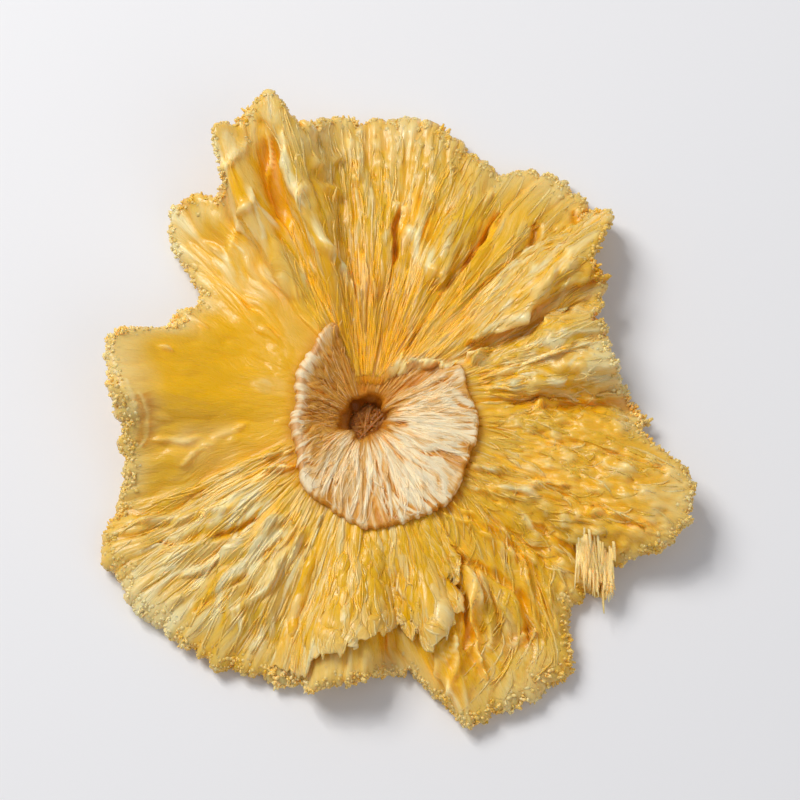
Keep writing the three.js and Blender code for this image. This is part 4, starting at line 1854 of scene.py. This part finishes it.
@dataclass(frozen=True)
class Lamp:
    """A square soft lamp that faces the ring: where it stands, its side, its power and its colour."""

    name: str
    at: tuple
    side: float
    power: float
    colour: tuple

    def build(self) -> None:
        """Adds the lamp to the scene."""
        light = bpy.data.lights.new(self.name, "AREA")
        light.size = self.side
        light.energy = self.power
        light.color = self.colour
        lamp = bpy.data.objects.new(self.name, light)
        lamp.location = self.at
        lamp.rotation_euler = (-Vector(self.at)).to_track_quat("-Z", "Y").to_euler()
        bpy.context.scene.collection.objects.link(lamp)


@dataclass(frozen=True)
class Studio:
    """A plain pale floor, soft light from the upper left, and a camera that looks down on the ring."""

    elevation: float = 72.0
    lens: float = 100.0
    filled: float = 0.80
    floor_half: float = 1.6
    floor_gap: float = 0.00004
    floor_roughness: float = 0.7
    floor_tone: tuple = tone(240, 240, 242)
    sky_tone: tuple = tone(246, 248, 255)
    sky_strength: float = 0.34
    lamps: tuple = (
        Lamp("key", (-0.34, 0.30, 0.52), 0.30, 3.15, (1.0, 0.985, 0.96)),
        Lamp("glint", (-0.20, 0.34, 0.50), 0.05, 0.35, (1.0, 0.99, 0.97)),
        Lamp("fill", (0.45, -0.40, 0.45), 0.6, 0.7, (1.0, 0.99, 0.98)),
    )

    def floor(self) -> None:
        """One large pale sheet just under the ring."""
        half, low = self.floor_half, -self.floor_gap
        mesh = bpy.data.meshes.new("floor")
        corners = [(-half, -half, low), (half, -half, low), (half, half, low), (-half, half, low)]
        mesh.from_pydata(corners, [], [(0, 1, 2, 3)])
        recipe = Recipe("pale floor")
        recipe.shader.inputs["Base Color"].default_value = self.floor_tone
        recipe.shader.inputs["Roughness"].default_value = self.floor_roughness
        mesh.materials.append(recipe.material)
        sheet = bpy.data.objects.new("floor", mesh)
        bpy.context.scene.collection.objects.link(sheet)

    def camera(self) -> None:
        """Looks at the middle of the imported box, far enough off for the ring to fill its share of the view.

        The distance is half the height to be shown over the tangent of half the angle of view.
        """
        low, high = CAD_BOX
        middle = (low + high) / 2.0
        view = bpy.data.cameras.new("view")
        view.lens = self.lens
        half_angle = math.atan(view.sensor_width / 2.0 / view.lens)
        distance = (high.y - low.y) / self.filled / 2.0 / math.tan(half_angle)
        tilt = math.radians(self.elevation)
        back = Vector((0.0, -math.cos(tilt), math.sin(tilt)))
        eye = bpy.data.objects.new("view", view)
        eye.location = middle + back * distance
        eye.rotation_euler = (-back).to_track_quat("-Z", "Y").to_euler()
        bpy.context.scene.collection.objects.link(eye)
        bpy.context.scene.camera = eye

    def build(self) -> None:
        """Sets up the floor, the sky, the lamps and the camera."""
        scene = bpy.context.scene
        scene.view_settings.view_transform = "Standard"
        world = bpy.data.worlds.new("soft sky")
        world.use_nodes = True
        sky = world.node_tree.nodes["Background"]
        sky.inputs["Color"].default_value = self.sky_tone
        sky.inputs["Strength"].default_value = self.sky_strength
        scene.world = world
        self.floor()
        for lamp in self.lamps:
            lamp.build()
        self.camera()


# Where the folded flap stops, and the fibres that lie on it and on the skins.
FLAP_ENDS = (
    (0.0, 0.99), (0.15, 0.97), (0.28, 0.86), (0.40, 0.77), (0.58, 0.70), (0.72, 0.60), (0.82, 0.48),
    (0.92, 0.30), (1.0, 0.02),
)
FLAP_ZONES = (
    Zone(250, 304, 0.05, 0.95, 240, (0.6, 1.4), (4.0, 11.0), (0.0, 1.0), (0.4, 1.0), (-3, 3)),
    Zone(250, 304, 0.60, 1.00, 160, (0.4, 0.9), (2.0, 5.0), (0.0, 1.0), (0.4, 1.0), (-3, 3)),
)
FLESH_FIBRES = (
    Zone(40, 118, 0.03, 0.42, 480, (0.14, 0.34), (2.0, 6.0), (0.0, 0.72), (0.5, 1.0), (-2, 2)),
    Zone(50, 110, 0.40, 0.95, 240, (0.18, 0.44), (2.0, 6.0), (0.0, 1.0), (0.5, 1.0), (-1.5, 1.5)),
    Zone(204, 256, 0.05, 0.90, 360, (0.18, 0.44), (2.5, 8.0), (0.1, 1.0), (0.5, 1.0), (-1.5, 1.5)),
    Zone(4, 52, 0.05, 0.95, 420, (0.18, 0.42), (2.0, 6.0), (0.0, 1.0), (0.5, 1.0), (-1.5, 1.5)),
    Zone(318, 364, 0.05, 0.95, 260, (0.18, 0.42), (1.2, 4.0), (0.0, 1.0), (0.5, 1.0), (-3, 3)),
    Zone(294, 322, 0.05, 0.95, 80, (0.18, 0.40), (2.5, 7.0), (0.0, 1.0), (0.5, 1.0), (-10, -5)),
)
FLAP_FIBRES = (
    Zone(15, 330, 0.10, 0.85, 220, (0.18, 0.40), (2.0, 6.0), (0.0, 1.0), (0.5, 1.0), (-4, 4)),
    Zone(10, 340, 0.90, 0.97, 180, (0.18, 0.36), (1.0, 2.4), (0.4, 1.0), (0.5, 1.0), (-4, 4)),
)
CORE_FIBRES = (
    Zone(0, 360, 0.04, 0.90, 380, (0.13, 0.26), (1.5, 5.0), (0.2, 1.0), (0.5, 1.0), (-5, 5)),
    Zone(220, 385, 0.10, 0.95, 240, (0.16, 0.34), (2.0, 6.0), (0.6, 1.0), (0.5, 1.0), (-8, 8)),
)


def main() -> None:
    """Builds the ring piece by piece, then the studio round it."""
    logging.basicConfig(level=logging.INFO, format="%(message)s")
    form = SliceForm()
    flesh_finish = FleshFinish().build()
    fibre_finish = FleshFinish(name="dried fibres", glow_share=0.35).build()
    core_finish = CoreFinish().build()
    core_fibre_finish = CoreFinish(name="core fibres", glow_share=0.30).build()
    flesh, core = Flesh(form), Core(form)
    flesh.build().make(flesh_finish)
    core.build().make(core_finish)
    flap = LaidSheet("folded_flap", flesh, 250.0, 304.0, -0.06, FLAP_ENDS, FLAP_ZONES, 277)
    flap.build().make(fibre_finish)
    TornTab(flesh).build().make(fibre_finish)
    on_flesh = LaidFibres("flesh_fibres", flesh.skin, flesh.station_at, flesh.reach, FLESH_FIBRES, 55)
    on_flesh.build().make(fibre_finish)
    on_flap = LaidFibres("flap_fibres", flap.skin, flap.station_at, flap.reach, FLAP_FIBRES, 56)
    on_flap.build().make(fibre_finish)
    on_core = LaidFibres("core_fibres", core.skin, core.station_at, core.reach, CORE_FIBRES, 72)
    on_core.build().make(core_fibre_finish)
    RimFrill(flesh).build().make(fibre_finish)
    RimBeads(flesh).build().make(fibre_finish)
    HoleShadeFringe(core).build().make(core_fibre_finish)
    Studio().build()


if __name__ == "__main__":
    main()
